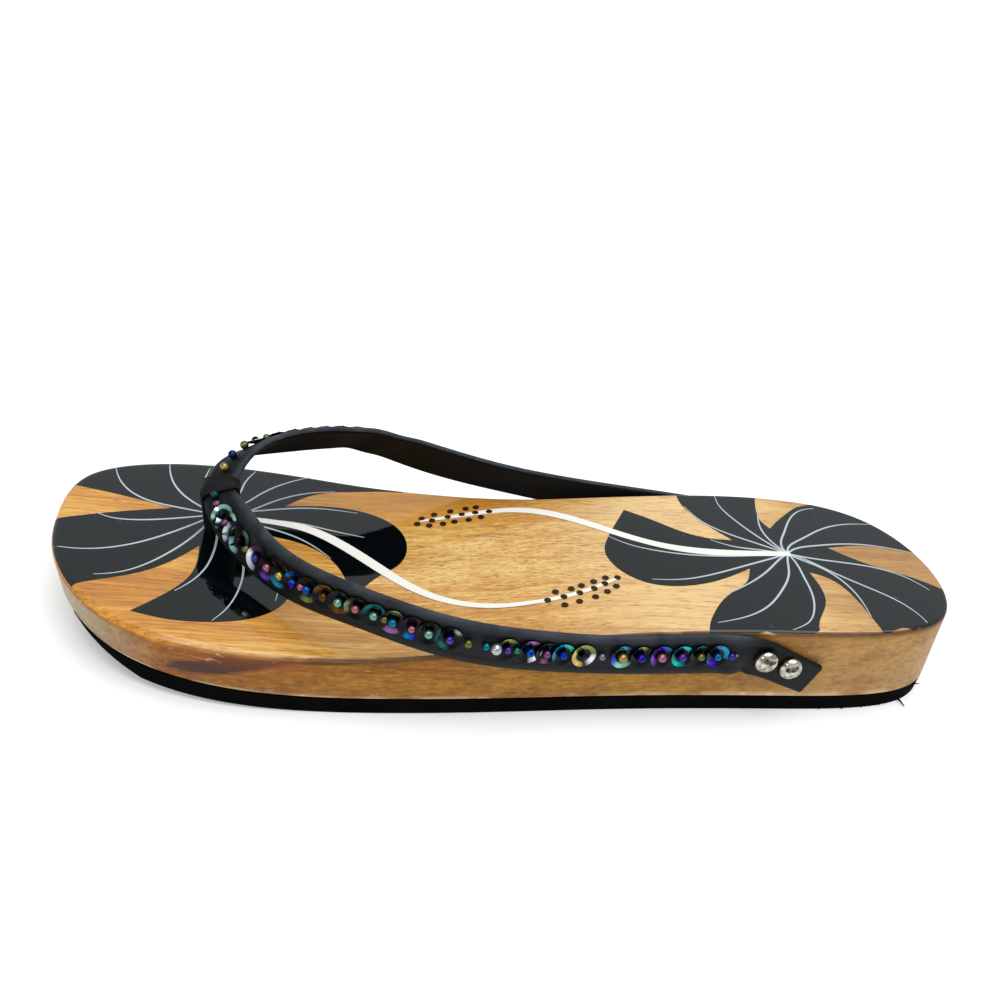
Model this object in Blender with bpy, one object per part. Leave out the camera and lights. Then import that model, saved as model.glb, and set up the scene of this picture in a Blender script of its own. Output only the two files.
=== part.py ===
"""Wooden flip-flop for the left foot.

A lacquered wooden sole stands on a rubber outsole. A V-shaped leather strap is nailed to both sides of
the wood, carries a row of sequins on each branch, and is held down by a thong between the toes.
The heel is at -X, the toe at +X, the outer side of the foot at +Y and the floor at Z = 0.
Sizes are in millimetres, and every mesh is brought to metres when its object is made.
"""

import math

import bmesh
import bpy
import numpy as np
from mathutils import Matrix, Vector

MM = 0.001

# Space left between pieces that touch on the real shoe
CLEARANCE = 0.3

# Outline of the sole from above, from the heel round the outer side, the toe and the arch: x, y
SOLE_OUTLINE = (
    (-122.5, -3.1),
    (-120.0, 17.4),
    (-102.3, 28.8),
    (-67.8, 32.3),
    (-27.9, 35.0),
    (12.4, 38.9),
    (47.8, 41.1),
    (78.6, 39.7),
    (104.6, 29.2),
    (119.8, 8.4),
    (123.1, -12.0),
    (118.7, -30.1),
    (99.3, -39.7),
    (70.5, -40.5),
    (30.1, -33.7),
    (-10.5, -26.7),
    (-52.2, -30.6),
    (-89.9, -31.9),
    (-112.5, -22.6),
)
OUTLINE_STEPS = 40
SOLE_SECTIONS = 72

# Footbed along the foot: x, height of the wood's top, radius of its rounded edge
FOOTBED = (
    (-124.0, 27.9, 1.0),
    (-80.0, 27.7, 1.0),
    (-40.0, 27.1, 1.0),
    (-20.0, 25.9, 1.0),
    (0.0, 23.2, 1.0),
    (20.0, 20.2, 1.0),
    (40.0, 18.1, 1.1),
    (60.0, 17.9, 1.4),
    (90.0, 18.7, 2.4),
    (124.0, 19.3, 1.5),
)
EDGE_STEPS = 4

# Outsole: flat on the floor as far as SPRING_START, then rising with the wood to SPRING_RISE under the
# toe tip. From PARE_START it is pared away at PARE_ANGLE to a feather edge behind the tip.
OUTSOLE_THICK = 4.8
OUTSOLE_EDGE = 0.2
SPRING_START = 39.0
SPRING_RISE = 5.5
PARE_START = 93.5
PARE_ANGLE = 19.0
# The wall is sawn a little out of square: the underside's outline is smaller and lies further back
SOLE_DRAFT = 0.1
SOLE_LEAN = 1.2

# Strap on the outer wall of the wood, from its end tab forward: x, height, width
OUTER_RUN = (
    (-78.2, 13.1, 10.0),
    (-69.5, 16.9, 10.5),
    (-61.0, 20.3, 11.6),
    (-55.0, 21.0, 12.4),
    (-29.0, 20.6, 12.5),
    (-4.0, 22.1, 12.5),
    (21.0, 26.9, 12.5),
)
# Strap over the foot, from the outer side round the point to the arch: x, y, height, inward lean in
# degrees, width. The thong pinches it at the point.
ARCH = (
    (45.4, 34.2, 29.8, 0.0, 12.5),
    (62.5, 20.9, 28.1, 11.0, 12.5),
    (75.5, 5.0, 30.1, 35.0, 11.8),
    (80.4, -6.9, 32.7, 74.0, 8.6),
    (76.6, -17.6, 36.3, 58.0, 11.2),
    (66.4, -25.5, 36.9, 38.0, 12.5),
    (44.8, -28.4, 38.8, 34.0, 12.5),
    (26.0, -30.6, 33.6, 22.0, 12.5),
    (3.0, -30.3, 28.7, 22.0, 12.5),
    (-26.5, -30.8, 24.2, 14.0, 12.5),
)
ARCH_POINT = 3
# Strap on the inner wall of the wood, from the arch back to its end tab: x, height, width
INNER_RUN = (
    (-55.0, 20.2, 12.4),
    (-61.0, 19.4, 11.6),
    (-69.5, 16.0, 10.5),
    (-78.2, 12.2, 10.0),
)
STRAP_THICK = 2.2
STRAP_STATION = 3.0
STRAP_EDGE_STEPS = 4

# Toe thong: a sleeve round the point of the strap on a post of two legs
THONG_WIDTH = 5.0
THONG_THICK = 0.5
POST_BASE = (79.9, -7.9)
POST_LENGTH = 9.0
POST_TOP_LENGTH = 10.4
POST_WIDTH = 4.8
POST_GROOVE = 0.2
POST_SIDES = 24
SLOT_DEPTH = 9.0

# Dome-headed nails, placed along the strap from the end of each tab and across it from its middle
NAIL_PLACES = (("back", 9.2, 1.4), ("front", 16.9, 0.5))
NAIL_HEAD = 6.5
NAIL_RISE = 2.5
NAIL_RIM = 0.4
NAIL_SHANK = 1.6
NAIL_LENGTH = 10.0
NAIL_SIDES = 20
NAIL_DOME_STEPS = 5

# Sequin trim: one pitch per sequin, each lying on the one before it: place in the pitch, half width, rise
TRIM_PITCH = 5.0
SEQUIN = (
    (0.00, 2.7, 1.5),
    (0.35, 3.6, 2.5),
    (0.70, 3.4, 1.9),
)
TRIM_SEAT = 0.5
TRIM_SIDES = 6
TRIM_FROM_POINT = 3.4
TRIM_FROM_END = 25.5

WOOD_COLOUR = (0.56, 0.33, 0.13)
RUBBER_COLOUR = (0.012, 0.012, 0.013)
LEATHER_COLOUR = (0.030, 0.031, 0.034)
THONG_COLOUR = (0.015, 0.015, 0.016)
NAIL_COLOUR = (0.72, 0.70, 0.66)
SEQUIN_COLOUR = (0.03, 0.10, 0.14)


def smooth_curve(knots, values, at):
    """Natural cubic curve through the values at the knots, read at the given places."""
    knots = np.asarray(knots, float)
    values = np.asarray(values, float)
    count = len(knots)
    gaps = np.diff(knots)
    slopes = np.diff(values, axis=0) / gaps[:, None]
    system = np.eye(count)
    right = np.zeros_like(values)
    for i in range(1, count - 1):
        system[i, i - 1 : i + 2] = gaps[i - 1], 2 * (gaps[i - 1] + gaps[i]), gaps[i]
        right[i] = 6 * (slopes[i] - slopes[i - 1])
    bends = np.linalg.solve(system, right)
    at = np.asarray(at, float)
    span = np.clip(np.searchsorted(knots, at) - 1, 0, count - 2)
    gap = gaps[span][:, None]
    ahead = (knots[span + 1] - at)[:, None]
    behind = (at - knots[span])[:, None]
    curved = (bends[span] * ahead**3 + bends[span + 1] * behind**3) / (6 * gap)
    before = (values[span] / gap - bends[span] * gap / 6) * ahead
    after = (values[span + 1] / gap - bends[span + 1] * gap / 6) * behind
    return curved + before + after


def outline_halves():
    """Outer and inner half of the sole's outline, each from the heel's end to the toe's end."""
    count = len(SOLE_OUTLINE)
    overlap = 4
    turns = np.arange(-overlap, count + overlap + 1)
    wrapped = [SOLE_OUTLINE[turn % count] for turn in turns]
    places = np.linspace(0, count, count * OUTLINE_STEPS, endpoint=False)
    loop = smooth_curve(turns, wrapped, places)
    loop = np.roll(loop, -int(loop[:, 0].argmin()), axis=0)
    toe = int(loop[:, 0].argmax())
    outer = loop[: toe + 1]
    inner = np.vstack([loop[toe:], loop[:1]])[::-1]
    return outer, inner


OUTER_HALF, INNER_HALF = outline_halves()


def wall_y(x, half):
    return np.interp(x, half[:, 0], half[:, 1])


def footbed_at(x):
    """Height of the wood's top and the radius of its edge."""
    table = np.array(FOOTBED)
    found = smooth_curve(table[:, 0], table[:, 1:], np.atleast_1d(x))
    return found[:, 0], found[:, 1]


def floor_side(x):
    """Height of the outsole's underside."""
    reach = (np.asarray(x, float) - SPRING_START) / (OUTER_HALF[-1, 0] - SPRING_START)
    return SPRING_RISE * np.clip(reach, 0, None) ** 2


def sole_ring():
    """The outline with its points in pairs across the foot, closer together at the heel and toe."""
    turn = np.linspace(0, math.pi, SOLE_SECTIONS + 1)
    heel = OUTER_HALF[0, 0]
    toe = OUTER_HALF[-1, 0]
    x = 0.5 * (heel + toe) - 0.5 * (toe - heel) * np.cos(turn)
    outer = np.column_stack([x, wall_y(x, OUTER_HALF)])
    inner = np.column_stack([x, wall_y(x, INNER_HALF)])[1:-1]
    return np.vstack([outer, inner[::-1]])


def inset_ring(ring, inset):
    along = np.roll(ring, -1, axis=0) - np.roll(ring, 1, axis=0)
    along /= np.linalg.norm(along, axis=1)[:, None]
    inward = np.column_stack([along[:, 1], -along[:, 0]])
    return ring + inward * np.broadcast_to(inset, len(ring))[:, None]


def skin(mesh, rings):
    """Vertices of each ring, with a strip of faces between each ring and the next."""
    loops = [[mesh.verts.new(Vector(point) * MM) for point in ring] for ring in rings]
    for lower, upper in zip(loops, loops[1:]):
        for i in range(len(lower)):
            j = (i + 1) % len(lower)
            mesh.faces.new((lower[i], lower[j], upper[j], upper[i]))
    return loops


def ladder_cap(mesh, loop):
    """Closes a sole ring with strips that run straight across the foot."""
    last = SOLE_SECTIONS
    for i in range(last):
        corners = [loop[i], loop[i + 1]]
        if i + 1 < last:
            corners.append(loop[2 * last - i - 1])
        if i > 0:
            corners.append(loop[2 * last - i])
        mesh.faces.new(corners)


def material(name, colour, roughness, metallic=0.0):
    made = bpy.data.materials.new(name)
    made.use_nodes = True
    shader = made.node_tree.nodes["Principled BSDF"]
    shader.inputs["Base Color"].default_value = (*colour, 1.0)
    shader.inputs["Roughness"].default_value = roughness
    shader.inputs["Metallic"].default_value = metallic
    made.diffuse_color = (*colour, 1.0)
    return made


def add_object(name, mesh, finish, sharp=40.0):
    bmesh.ops.recalc_face_normals(mesh, faces=mesh.faces)
    data = bpy.data.meshes.new(name)
    mesh.to_mesh(data)
    mesh.free()
    data.shade_smooth()
    data.set_sharp_from_angle(angle=math.radians(sharp))
    data.materials.append(finish)
    made = bpy.data.objects.new(name, data)
    bpy.context.scene.collection.objects.link(made)
    made.parent = shoe
    return made


def as_helper(made):
    made.hide_render = True
    made.display_type = "WIRE"
    return made


def cut(target, tool, operation="DIFFERENCE"):
    change = target.modifiers.new(tool.name, "BOOLEAN")
    change.operation = operation
    change.solver = "EXACT"
    change.object = tool


def sole_layer(levels):
    """Mesh of a layer of the sole from rings at the given insets, heights and leans, bottom first."""
    mesh = bmesh.new()
    ring = sole_ring()
    rings = []
    for inset, height, lean in levels:
        flat = inset_ring(ring, inset) - (lean, 0.0)
        rings.append(np.column_stack([flat, height(flat[:, 0])]))
    loops = skin(mesh, rings)
    ladder_cap(mesh, loops[0])
    ladder_cap(mesh, loops[-1])
    return mesh


def wooden_sole(finish):
    def underside(x):
        return floor_side(x) + OUTSOLE_THICK + CLEARANCE

    levels = [
        (SOLE_DRAFT + OUTSOLE_EDGE, underside, SOLE_LEAN),
        (SOLE_DRAFT, lambda x: underside(x) + OUTSOLE_EDGE, SOLE_LEAN),
    ]
    edge = footbed_at(sole_ring()[:, 0])[1]
    for step in range(EDGE_STEPS + 1):
        turn = 0.5 * math.pi * step / EDGE_STEPS

        def height(x, drop=1 - math.sin(turn)):
            top, radius = footbed_at(x)
            return top - radius * drop

        levels.append((edge * (1 - math.cos(turn)), height, 0.0))
    return add_object("wooden_sole", sole_layer(levels), finish)


def outsole(finish):
    levels = (
        (SOLE_DRAFT + 2 * OUTSOLE_EDGE, floor_side, SOLE_LEAN),
        (SOLE_DRAFT + OUTSOLE_EDGE, lambda x: floor_side(x) + OUTSOLE_EDGE, SOLE_LEAN),
        (SOLE_DRAFT, lambda x: floor_side(x) + OUTSOLE_THICK, SOLE_LEAN),
    )
    mesh = sole_layer(levels)
    pare = math.radians(PARE_ANGLE)
    pared = bmesh.ops.bisect_plane(
        mesh,
        geom=mesh.verts[:] + mesh.edges[:] + mesh.faces[:],
        plane_co=Vector((PARE_START, 0.0, floor_side(PARE_START))) * MM,
        plane_no=(-math.sin(pare), 0.0, math.cos(pare)),
        clear_inner=True,
    )
    rim = [item for item in pared["geom_cut"] if isinstance(item, bmesh.types.BMEdge)]
    bmesh.ops.holes_fill(mesh, edges=rim)
    return add_object("outsole", mesh, finish)


class StrapLine:
    """The strap's middle line, with the directions along it, up across it and out of its face."""

    def __init__(self):
        stand_off = CLEARANCE + 0.5 * STRAP_THICK
        rows = []
        for x, height, width in OUTER_RUN:
            rows.append((x, wall_y(x, OUTER_HALF) + stand_off, height, 0.0, width))
        rows.extend(ARCH)
        for x, height, width in INNER_RUN:
            rows.append((x, wall_y(x, INNER_HALF) - stand_off, height, 0.0, width))
        self.rows = np.array(rows)
        steps = np.linalg.norm(np.diff(self.rows[:, :3], axis=0), axis=1)
        self.knots = np.concatenate([[0.0], np.cumsum(steps)])
        self.length = self.knots[-1]
        self.point_at = self.knots[len(OUTER_RUN) + ARCH_POINT]

    def read(self, places):
        """Point, along, across, outward and width at the given distances from the outer tab's end."""
        places = np.atleast_1d(np.asarray(places, float))
        nudge = 0.05
        found = smooth_curve(self.knots, self.rows, places)
        ahead = smooth_curve(self.knots, self.rows[:, :3], places + nudge)
        along = ahead - smooth_curve(self.knots, self.rows[:, :3], places - nudge)
        along /= np.linalg.norm(along, axis=1)[:, None]
        up = np.array((0.0, 0.0, 1.0)) - along[:, 2:3] * along
        up /= np.linalg.norm(up, axis=1)[:, None]
        out = np.cross(up, along)
        lean = np.radians(found[:, 3:4])
        across = np.cos(lean) * up - np.sin(lean) * out
        outward = np.cos(lean) * out + np.sin(lean) * up
        return found[:, :3], along, across, outward, found[:, 4]


def band_section(half_width, half_thick):
    """Flat band with round edges: distances across it and out of its face."""
    turns = np.linspace(-0.5 * math.pi, 0.5 * math.pi, STRAP_EDGE_STEPS + 1)
    flat = half_width - half_thick
    edge = np.column_stack([flat + half_thick * np.cos(turns), half_thick * np.sin(turns)])
    return np.vstack([edge, -edge])


def band(line, start, end, grow=0.0):
    """Closed mesh of the strap from start to end along its line, grown all round."""
    mesh = bmesh.new()
    count = max(2, round((end - start) / STRAP_STATION))
    places = np.linspace(start, end, count + 1)
    rings = []
    for point, _, across, outward, width in zip(*line.read(places)):
        section = band_section(0.5 * width + grow, 0.5 * STRAP_THICK + grow)
        rings.append(point + section[:, :1] * across + section[:, 1:] * outward)
    loops = skin(mesh, rings)
    mesh.faces.new(loops[0])
    mesh.faces.new(loops[-1])
    return mesh


def post_ring(length, grow=0.0):
    """Section of the two legs side by side, with a groove where they meet."""
    turn = np.linspace(0, 2 * math.pi, POST_SIDES, endpoint=False)
    roundness = 0.6
    side = np.sign(np.cos(turn)) * np.abs(np.cos(turn)) ** roundness
    face = np.sign(np.sin(turn)) * np.abs(np.sin(turn)) ** roundness
    face = face * (1 - POST_GROOVE * np.exp(-((side / 0.25) ** 2)))
    return np.column_stack([(0.5 * length + grow) * side, (0.5 * POST_WIDTH + grow) * face])


def post_column(levels):
    """Closed column of the post's section: each level gives length, growth, centre and heights."""
    mesh = bmesh.new()
    rings = []
    for length, grow, centre, height in levels:
        flat = post_ring(length, grow) + centre
        rings.append(np.column_stack([flat, height(flat)]))
    loops = skin(mesh, rings)
    mesh.faces.new(loops[0])
    mesh.faces.new(loops[-1])
    return mesh


def toe_thong(line, finish):
    bed = footbed_at(POST_BASE[0])[0][0]
    base = np.array(POST_BASE)
    points, _, _, outward, _ = line.read(line.point_at)
    point = points[0]
    normal = outward[0]
    foot = bed - SLOT_DEPTH + CLEARANCE

    def under_strap(flat):
        tilt = (flat - point[:2]) @ normal[:2] / normal[2]
        return point[2] - tilt

    def halfway(flat):
        return 0.5 * (bed + under_strap(flat))

    levels = (
        (POST_LENGTH, 0.0, base, lambda flat: np.full(len(flat), foot)),
        (POST_LENGTH, 0.0, base, lambda flat: np.full(len(flat), bed)),
        (0.5 * (POST_LENGTH + POST_TOP_LENGTH), 0.0, 0.5 * (base + point[:2]), halfway),
        (POST_TOP_LENGTH, 0.0, point[:2], under_strap),
    )
    thong = add_object("toe_thong", post_column(levels), finish)
    half = 0.5 * THONG_WIDTH
    around = CLEARANCE + THONG_THICK
    sleeve = band(line, line.point_at - half, line.point_at + half, around)
    cut(thong, as_helper(add_object("thong_sleeve", sleeve, finish)), "UNION")
    reach = 4 * half
    channel = band(line, line.point_at - reach, line.point_at + reach, CLEARANCE)
    cut(thong, as_helper(add_object("strap_channel", channel, finish)))
    slot_levels = [
        (POST_LENGTH, CLEARANCE, base, lambda flat, z=z: np.full(len(flat), z))
        for z in (bed - SLOT_DEPTH, bed + SLOT_DEPTH)
    ]
    slot = as_helper(add_object("thong_slot", post_column(slot_levels), finish))
    return thong, slot


def turned(profile, sides):
    """Closed round mesh from a profile of radius and height that starts and ends on the axis."""
    mesh = bmesh.new()
    corners = [mesh.verts.new(Vector((radius, 0.0, height)) * MM) for radius, height in profile]
    edges = [mesh.edges.new(pair) for pair in zip(corners, corners[1:])]
    bmesh.ops.spin(
        mesh,
        geom=corners + edges,
        cent=(0, 0, 0),
        axis=(0, 0, 1),
        angle=2 * math.pi,
        steps=sides,
        use_merge=True,
    )
    bmesh.ops.remove_doubles(mesh, verts=mesh.verts, dist=1e-6)
    return mesh


def nail_profile():
    dome = [(0.0, NAIL_RISE)]
    for step in range(1, NAIL_DOME_STEPS + 1):
        turn = 0.5 * math.pi * step / NAIL_DOME_STEPS
        height = NAIL_RIM + (NAIL_RISE - NAIL_RIM) * math.cos(turn)
        dome.append((0.5 * NAIL_HEAD * math.sin(turn), height))
    shank = 0.5 * NAIL_SHANK
    tip = NAIL_SHANK
    return dome + [
        (0.5 * NAIL_HEAD, 0.0),
        (shank, 0.0),
        (shank, tip - NAIL_LENGTH),
        (0.0, -NAIL_LENGTH),
    ]


def nails(line, finish, strap, sole):
    """Two nails through each end tab, with their holes in the strap and the wood."""
    lift = 0.5 * STRAP_THICK + CLEARANCE
    hole = 0.5 * NAIL_SHANK + CLEARANCE
    bottom = -NAIL_LENGTH - CLEARANCE
    hole_profile = ((0.0, NAIL_RISE), (hole, NAIL_RISE), (hole, bottom), (0.0, bottom))
    for side, start, sense in (("outer", 0.0, 1), ("inner", line.length, -1)):
        for name, distance, offset in NAIL_PLACES:
            point, along, across, outward, _ = line.read(start + sense * distance)
            axes = Matrix((along[0], across[0], -outward[0])).transposed()
            turn = (axes @ Matrix.Rotation(math.pi, 3, "X")).to_4x4()
            seat = point[0] + offset * across[0] + lift * outward[0]
            place = Matrix.Translation(Vector(seat) * MM) @ turn
            nail = add_object(f"nail_{side}_{name}", turned(nail_profile(), NAIL_SIDES), finish)
            drill = add_object(f"drill_{side}_{name}", turned(hole_profile, NAIL_SIDES), finish)
            nail.matrix_world = place
            drill.matrix_world = place
            cut(strap, as_helper(drill))
            cut(sole, drill)


def sequin_trim(name, line, start, end, finish):
    """Row of overlapping sequins on the strap's face, as one scalloped ridge."""
    mesh = bmesh.new()
    pitches = round(abs(end - start) / TRIM_PITCH)
    sense = math.copysign(TRIM_PITCH, end - start)
    base = 0.5 * STRAP_THICK + TRIM_SEAT
    turns = np.linspace(0, math.pi, TRIM_SIDES + 1)
    rings = []
    for pitch in range(pitches):
        for place, half_width, rise in SEQUIN:
            point, _, across, outward, _ = line.read(start + sense * (pitch + place))
            side = half_width * np.cos(turns)[:, None]
            lift = (base + rise * np.sin(turns))[:, None]
            rings.append(point + side * across + lift * outward)
    loops = skin(mesh, rings)
    mesh.faces.new(loops[0])
    mesh.faces.new(loops[-1])
    return add_object(name, mesh, finish, sharp=30.0)


for old in list(bpy.data.objects):
    bpy.data.objects.remove(old, do_unlink=True)

shoe = bpy.data.objects.new("flip_flop", None)
bpy.context.scene.collection.objects.link(shoe)

wood = material("lacquered_wood", WOOD_COLOUR, 0.3)
rubber = material("black_rubber", RUBBER_COLOUR, 0.8)
leather = material("coated_leather", LEATHER_COLOUR, 0.5)
thong_leather = material("thong_leather", THONG_COLOUR, 0.55)
nickel = material("nickel_plate", NAIL_COLOUR, 0.25, 1.0)
sequins = material("sequin_film", SEQUIN_COLOUR, 0.2, 0.6)

strap_line = StrapLine()
outsole(rubber)
sole_block = wooden_sole(wood)
strap_band = add_object("strap", band(strap_line, 0.0, strap_line.length), leather)
thong_loop, thong_slot = toe_thong(strap_line, thong_leather)
cut(sole_block, thong_slot)
nails(strap_line, nickel, strap_band, sole_block)
for trim_name, trim_sense, trim_end in (("outer", -1, 0.0), ("inner", 1, strap_line.length)):
    sequin_trim(
        f"sequin_trim_{trim_name}",
        strap_line,
        strap_line.point_at + trim_sense * TRIM_FROM_POINT,
        trim_end - trim_sense * TRIM_FROM_END,
        sequins,
    )
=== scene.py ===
import math

import bmesh
import bpy
import numpy as np
from mathutils import Matrix, Vector
from mathutils.bvhtree import BVHTree
from mathutils.geometry import delaunay_2d_cdt


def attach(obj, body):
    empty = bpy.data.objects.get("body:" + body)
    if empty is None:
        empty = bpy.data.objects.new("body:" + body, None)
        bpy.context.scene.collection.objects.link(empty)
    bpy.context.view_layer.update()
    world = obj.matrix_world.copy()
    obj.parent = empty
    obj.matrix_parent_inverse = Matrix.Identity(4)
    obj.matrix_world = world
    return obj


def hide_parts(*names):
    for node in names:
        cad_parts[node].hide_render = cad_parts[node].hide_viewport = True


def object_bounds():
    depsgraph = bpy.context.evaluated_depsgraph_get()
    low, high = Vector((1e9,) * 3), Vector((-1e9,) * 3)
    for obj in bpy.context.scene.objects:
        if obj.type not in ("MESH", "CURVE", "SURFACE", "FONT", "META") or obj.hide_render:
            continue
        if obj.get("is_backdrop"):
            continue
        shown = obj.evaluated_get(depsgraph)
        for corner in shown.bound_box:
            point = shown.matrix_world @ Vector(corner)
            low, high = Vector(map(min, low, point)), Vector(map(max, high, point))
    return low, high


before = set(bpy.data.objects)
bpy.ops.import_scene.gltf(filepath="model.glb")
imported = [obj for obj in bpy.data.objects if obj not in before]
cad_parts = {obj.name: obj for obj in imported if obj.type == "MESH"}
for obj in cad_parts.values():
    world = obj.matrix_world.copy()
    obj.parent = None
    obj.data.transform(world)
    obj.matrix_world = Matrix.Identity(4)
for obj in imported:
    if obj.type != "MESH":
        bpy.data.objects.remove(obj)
cad_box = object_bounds()
MM = 0.001

# Camera
# It stands on the outer side of the shoe, a little towards the toe, and looks down on it, rolled so that
# the heel comes up.
CAMERA_PLACE = (55.0, 241.3, 199.1)
CAMERA_AZIMUTH = 11.22
CAMERA_ELEVATION = 32.82
CAMERA_ROLL = 10.63

camera_data = bpy.data.cameras.new("camera")
camera_data.sensor_width = 36.0
camera_data.lens = 39.593
camera_data.clip_start = 0.01
camera = bpy.data.objects.new("camera", camera_data)
bpy.context.scene.collection.objects.link(camera)
heading = Matrix.Rotation(math.radians(180.0 - CAMERA_AZIMUTH), 4, "Z")
pitch = Matrix.Rotation(math.radians(90.0 - CAMERA_ELEVATION), 4, "X")
roll = Matrix.Rotation(math.radians(CAMERA_ROLL), 4, "Z")
camera.matrix_world = Matrix.Translation(Vector(CAMERA_PLACE) * MM) @ heading @ pitch @ roll
bpy.context.scene.camera = camera

# Floor and light
# A white light table under an even white dome. A very large soft panel shines from overhead, a little from
# the heel, and a small lamp on the camera's left gives the sequins and nails their sparks.
FLOOR_HALF = 8.0
WHITE_TABLE = "#E4E4E4"
TABLE_GLOW = 0.22
DOME_WHITE = "#EFF6F9"
DOME_STRENGTH = 0.74
PANEL_FROM = (-0.2, 0.05, 1.0)
PANEL_SPREAD = 64.0
PANEL_STRENGTH = 2.1
SPARK_FROM = (0.45, 0.55, 0.55)
SPARK_SIZE = 0.12
SPARK_POWER = 0.9
LAMP_AIM = (0.0, 0.0, 0.02)


def linear(code):
    """Linear colour from an sRGB hex value."""
    parts = [int(code[i : i + 2], 16) / 255 for i in (1, 3, 5)]
    return (*(c / 12.92 if c <= 0.04045 else ((c + 0.055) / 1.055) ** 2.4 for c in parts), 1.0)


def add_node(tree, kind, inputs=None, give=None, stops=None, **settings):
    """Adds a shader node with settings, input values or links and ramp stops, and gives an output."""
    made = tree.nodes.new("ShaderNode" + kind)
    for name, value in settings.items():
        setattr(made, name, value)
    for place, value in (inputs or {}).items():
        socket = next(one for one in made.inputs if one.enabled and place in (one.name, one.identifier))
        if isinstance(value, bpy.types.NodeSocket):
            tree.links.new(value, socket)
        else:
            socket.default_value = value
    if stops:
        ramp = made.color_ramp
        while len(ramp.elements) < len(stops):
            ramp.elements.new(1.0)
        for element, (position, code) in zip(ramp.elements, stops):
            element.position = position
            element.color = linear(code)
    return made.outputs[give] if give else next(one for one in made.outputs if one.enabled)


def start_material(name, values):
    """A material with the given even values on its shader, its node tree and the shader's sockets."""
    made = bpy.data.materials.new(name)
    made.use_nodes = True
    sockets = made.node_tree.nodes["Principled BSDF"].inputs
    for socket, value in values.items():
        sockets[socket].default_value = value
    return made, made.node_tree, sockets


# Opal acrylic table top: even and matte, faintly lit from below, so that shadows on it stay pale.
values = {"Base Color": linear(WHITE_TABLE), "Roughness": 0.8, "Specular IOR Level": 0.1}
values |= {"Emission Color": linear("#FFFFFF"), "Emission Strength": TABLE_GLOW}
acrylic, _, _ = start_material("opal_acrylic", values)

table = bmesh.new()
bmesh.ops.create_grid(table, x_segments=1, y_segments=1, size=FLOOR_HALF)
data = bpy.data.meshes.new("floor")
table.to_mesh(data)
table.free()
data.materials.append(acrylic)
floor = bpy.data.objects.new("floor", data)
bpy.context.scene.collection.objects.link(floor)
floor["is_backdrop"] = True

world = bpy.data.worlds.new("dome")
world.use_nodes = True
bpy.context.scene.world = world
dome = world.node_tree.nodes["Background"]
dome.inputs["Color"].default_value = linear(DOME_WHITE)
dome.inputs["Strength"].default_value = DOME_STRENGTH
bpy.context.scene.view_settings.view_transform = "Standard"

for name, kind, place in (("panel", "SUN", PANEL_FROM), ("spark_lamp", "AREA", SPARK_FROM)):
    lamp_data = bpy.data.lights.new(name, kind)
    if kind == "SUN":
        lamp_data.angle = math.radians(PANEL_SPREAD)
        lamp_data.energy = PANEL_STRENGTH
    else:
        lamp_data.size = SPARK_SIZE
        lamp_data.energy = SPARK_POWER
    lamp = bpy.data.objects.new(name, lamp_data)
    bpy.context.scene.collection.objects.link(lamp)
    aim = (Vector(LAMP_AIM) - Vector(place)).to_track_quat("-Z", "Y")
    lamp.matrix_world = Matrix.Translation(place) @ aim.to_matrix().to_4x4()

# Outsole
# A sheet of black sponge rubber, glued under the wood and trimmed flush with a knife, so its edge is matte
# and a little rough. Under the toe it is pared away to a feather edge, and at the heel the cut has torn and
# left crumbs and two strands.
SOLE_OUTLINE = (
    (-122.5, -3.1), (-120.0, 17.4), (-102.3, 28.8), (-67.8, 32.3), (-27.9, 35.0), (12.4, 38.9),
    (47.8, 41.1), (78.6, 39.7), (104.6, 29.2), (119.8, 8.4), (123.1, -12.0), (118.7, -30.1),
    (99.3, -39.7), (70.5, -40.5), (30.1, -33.7), (-10.5, -26.7), (-52.2, -30.6), (-89.9, -31.9),
    (-112.5, -22.6),
)
OUTLINE_POINTS = 380
# Cuts across the flat faces, so that they can bend: x from, x to, and their spacing
SOLE_CUTS = (-121.0, 122.0)
SOLE_STATION = 4.0
# Tolerances for merging points and for cutting along a plane
MERGE = 0.002 * MM
CUT_SNAP = 0.01 * MM
OUTSOLE_THICK = 4.8
OUTSOLE_EDGE = 0.2
SPRING_START = 39.0
SPRING_RISE = 5.5
PARE_START = 93.5
PARE_ANGLE = 19.0
SOLE_DRAFT = 0.1
SOLE_LEAN = 1.2
RUBBER_BLACK = "#040404"
RUBBER_DUST = "#0A0A0A"
STRAND_RADIUS = 0.45
STRAND_TAPER = 0.7
STRAND_SIDES = 6
STRAND_STEPS = 8
TORN_STRANDS = (
    ((-110.6, 25.4, 0.9), (-111.8, 26.6, 0.8), (-112.4, 28.6, 0.5)),
    ((-115.0, 22.6, 4.2), (-116.2, 23.4, 4.5), (-117.0, 24.2, 5.4)),
)
# Where the edge has crumbled: x from, x to
CRUMBLED = (-113.0, -84.0)
CRUMB_INSET = 0.2
CRUMB_HALF = 0.42
CRUMB_SPREAD = 0.12
CRUMB_HEIGHT = 0.3


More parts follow.
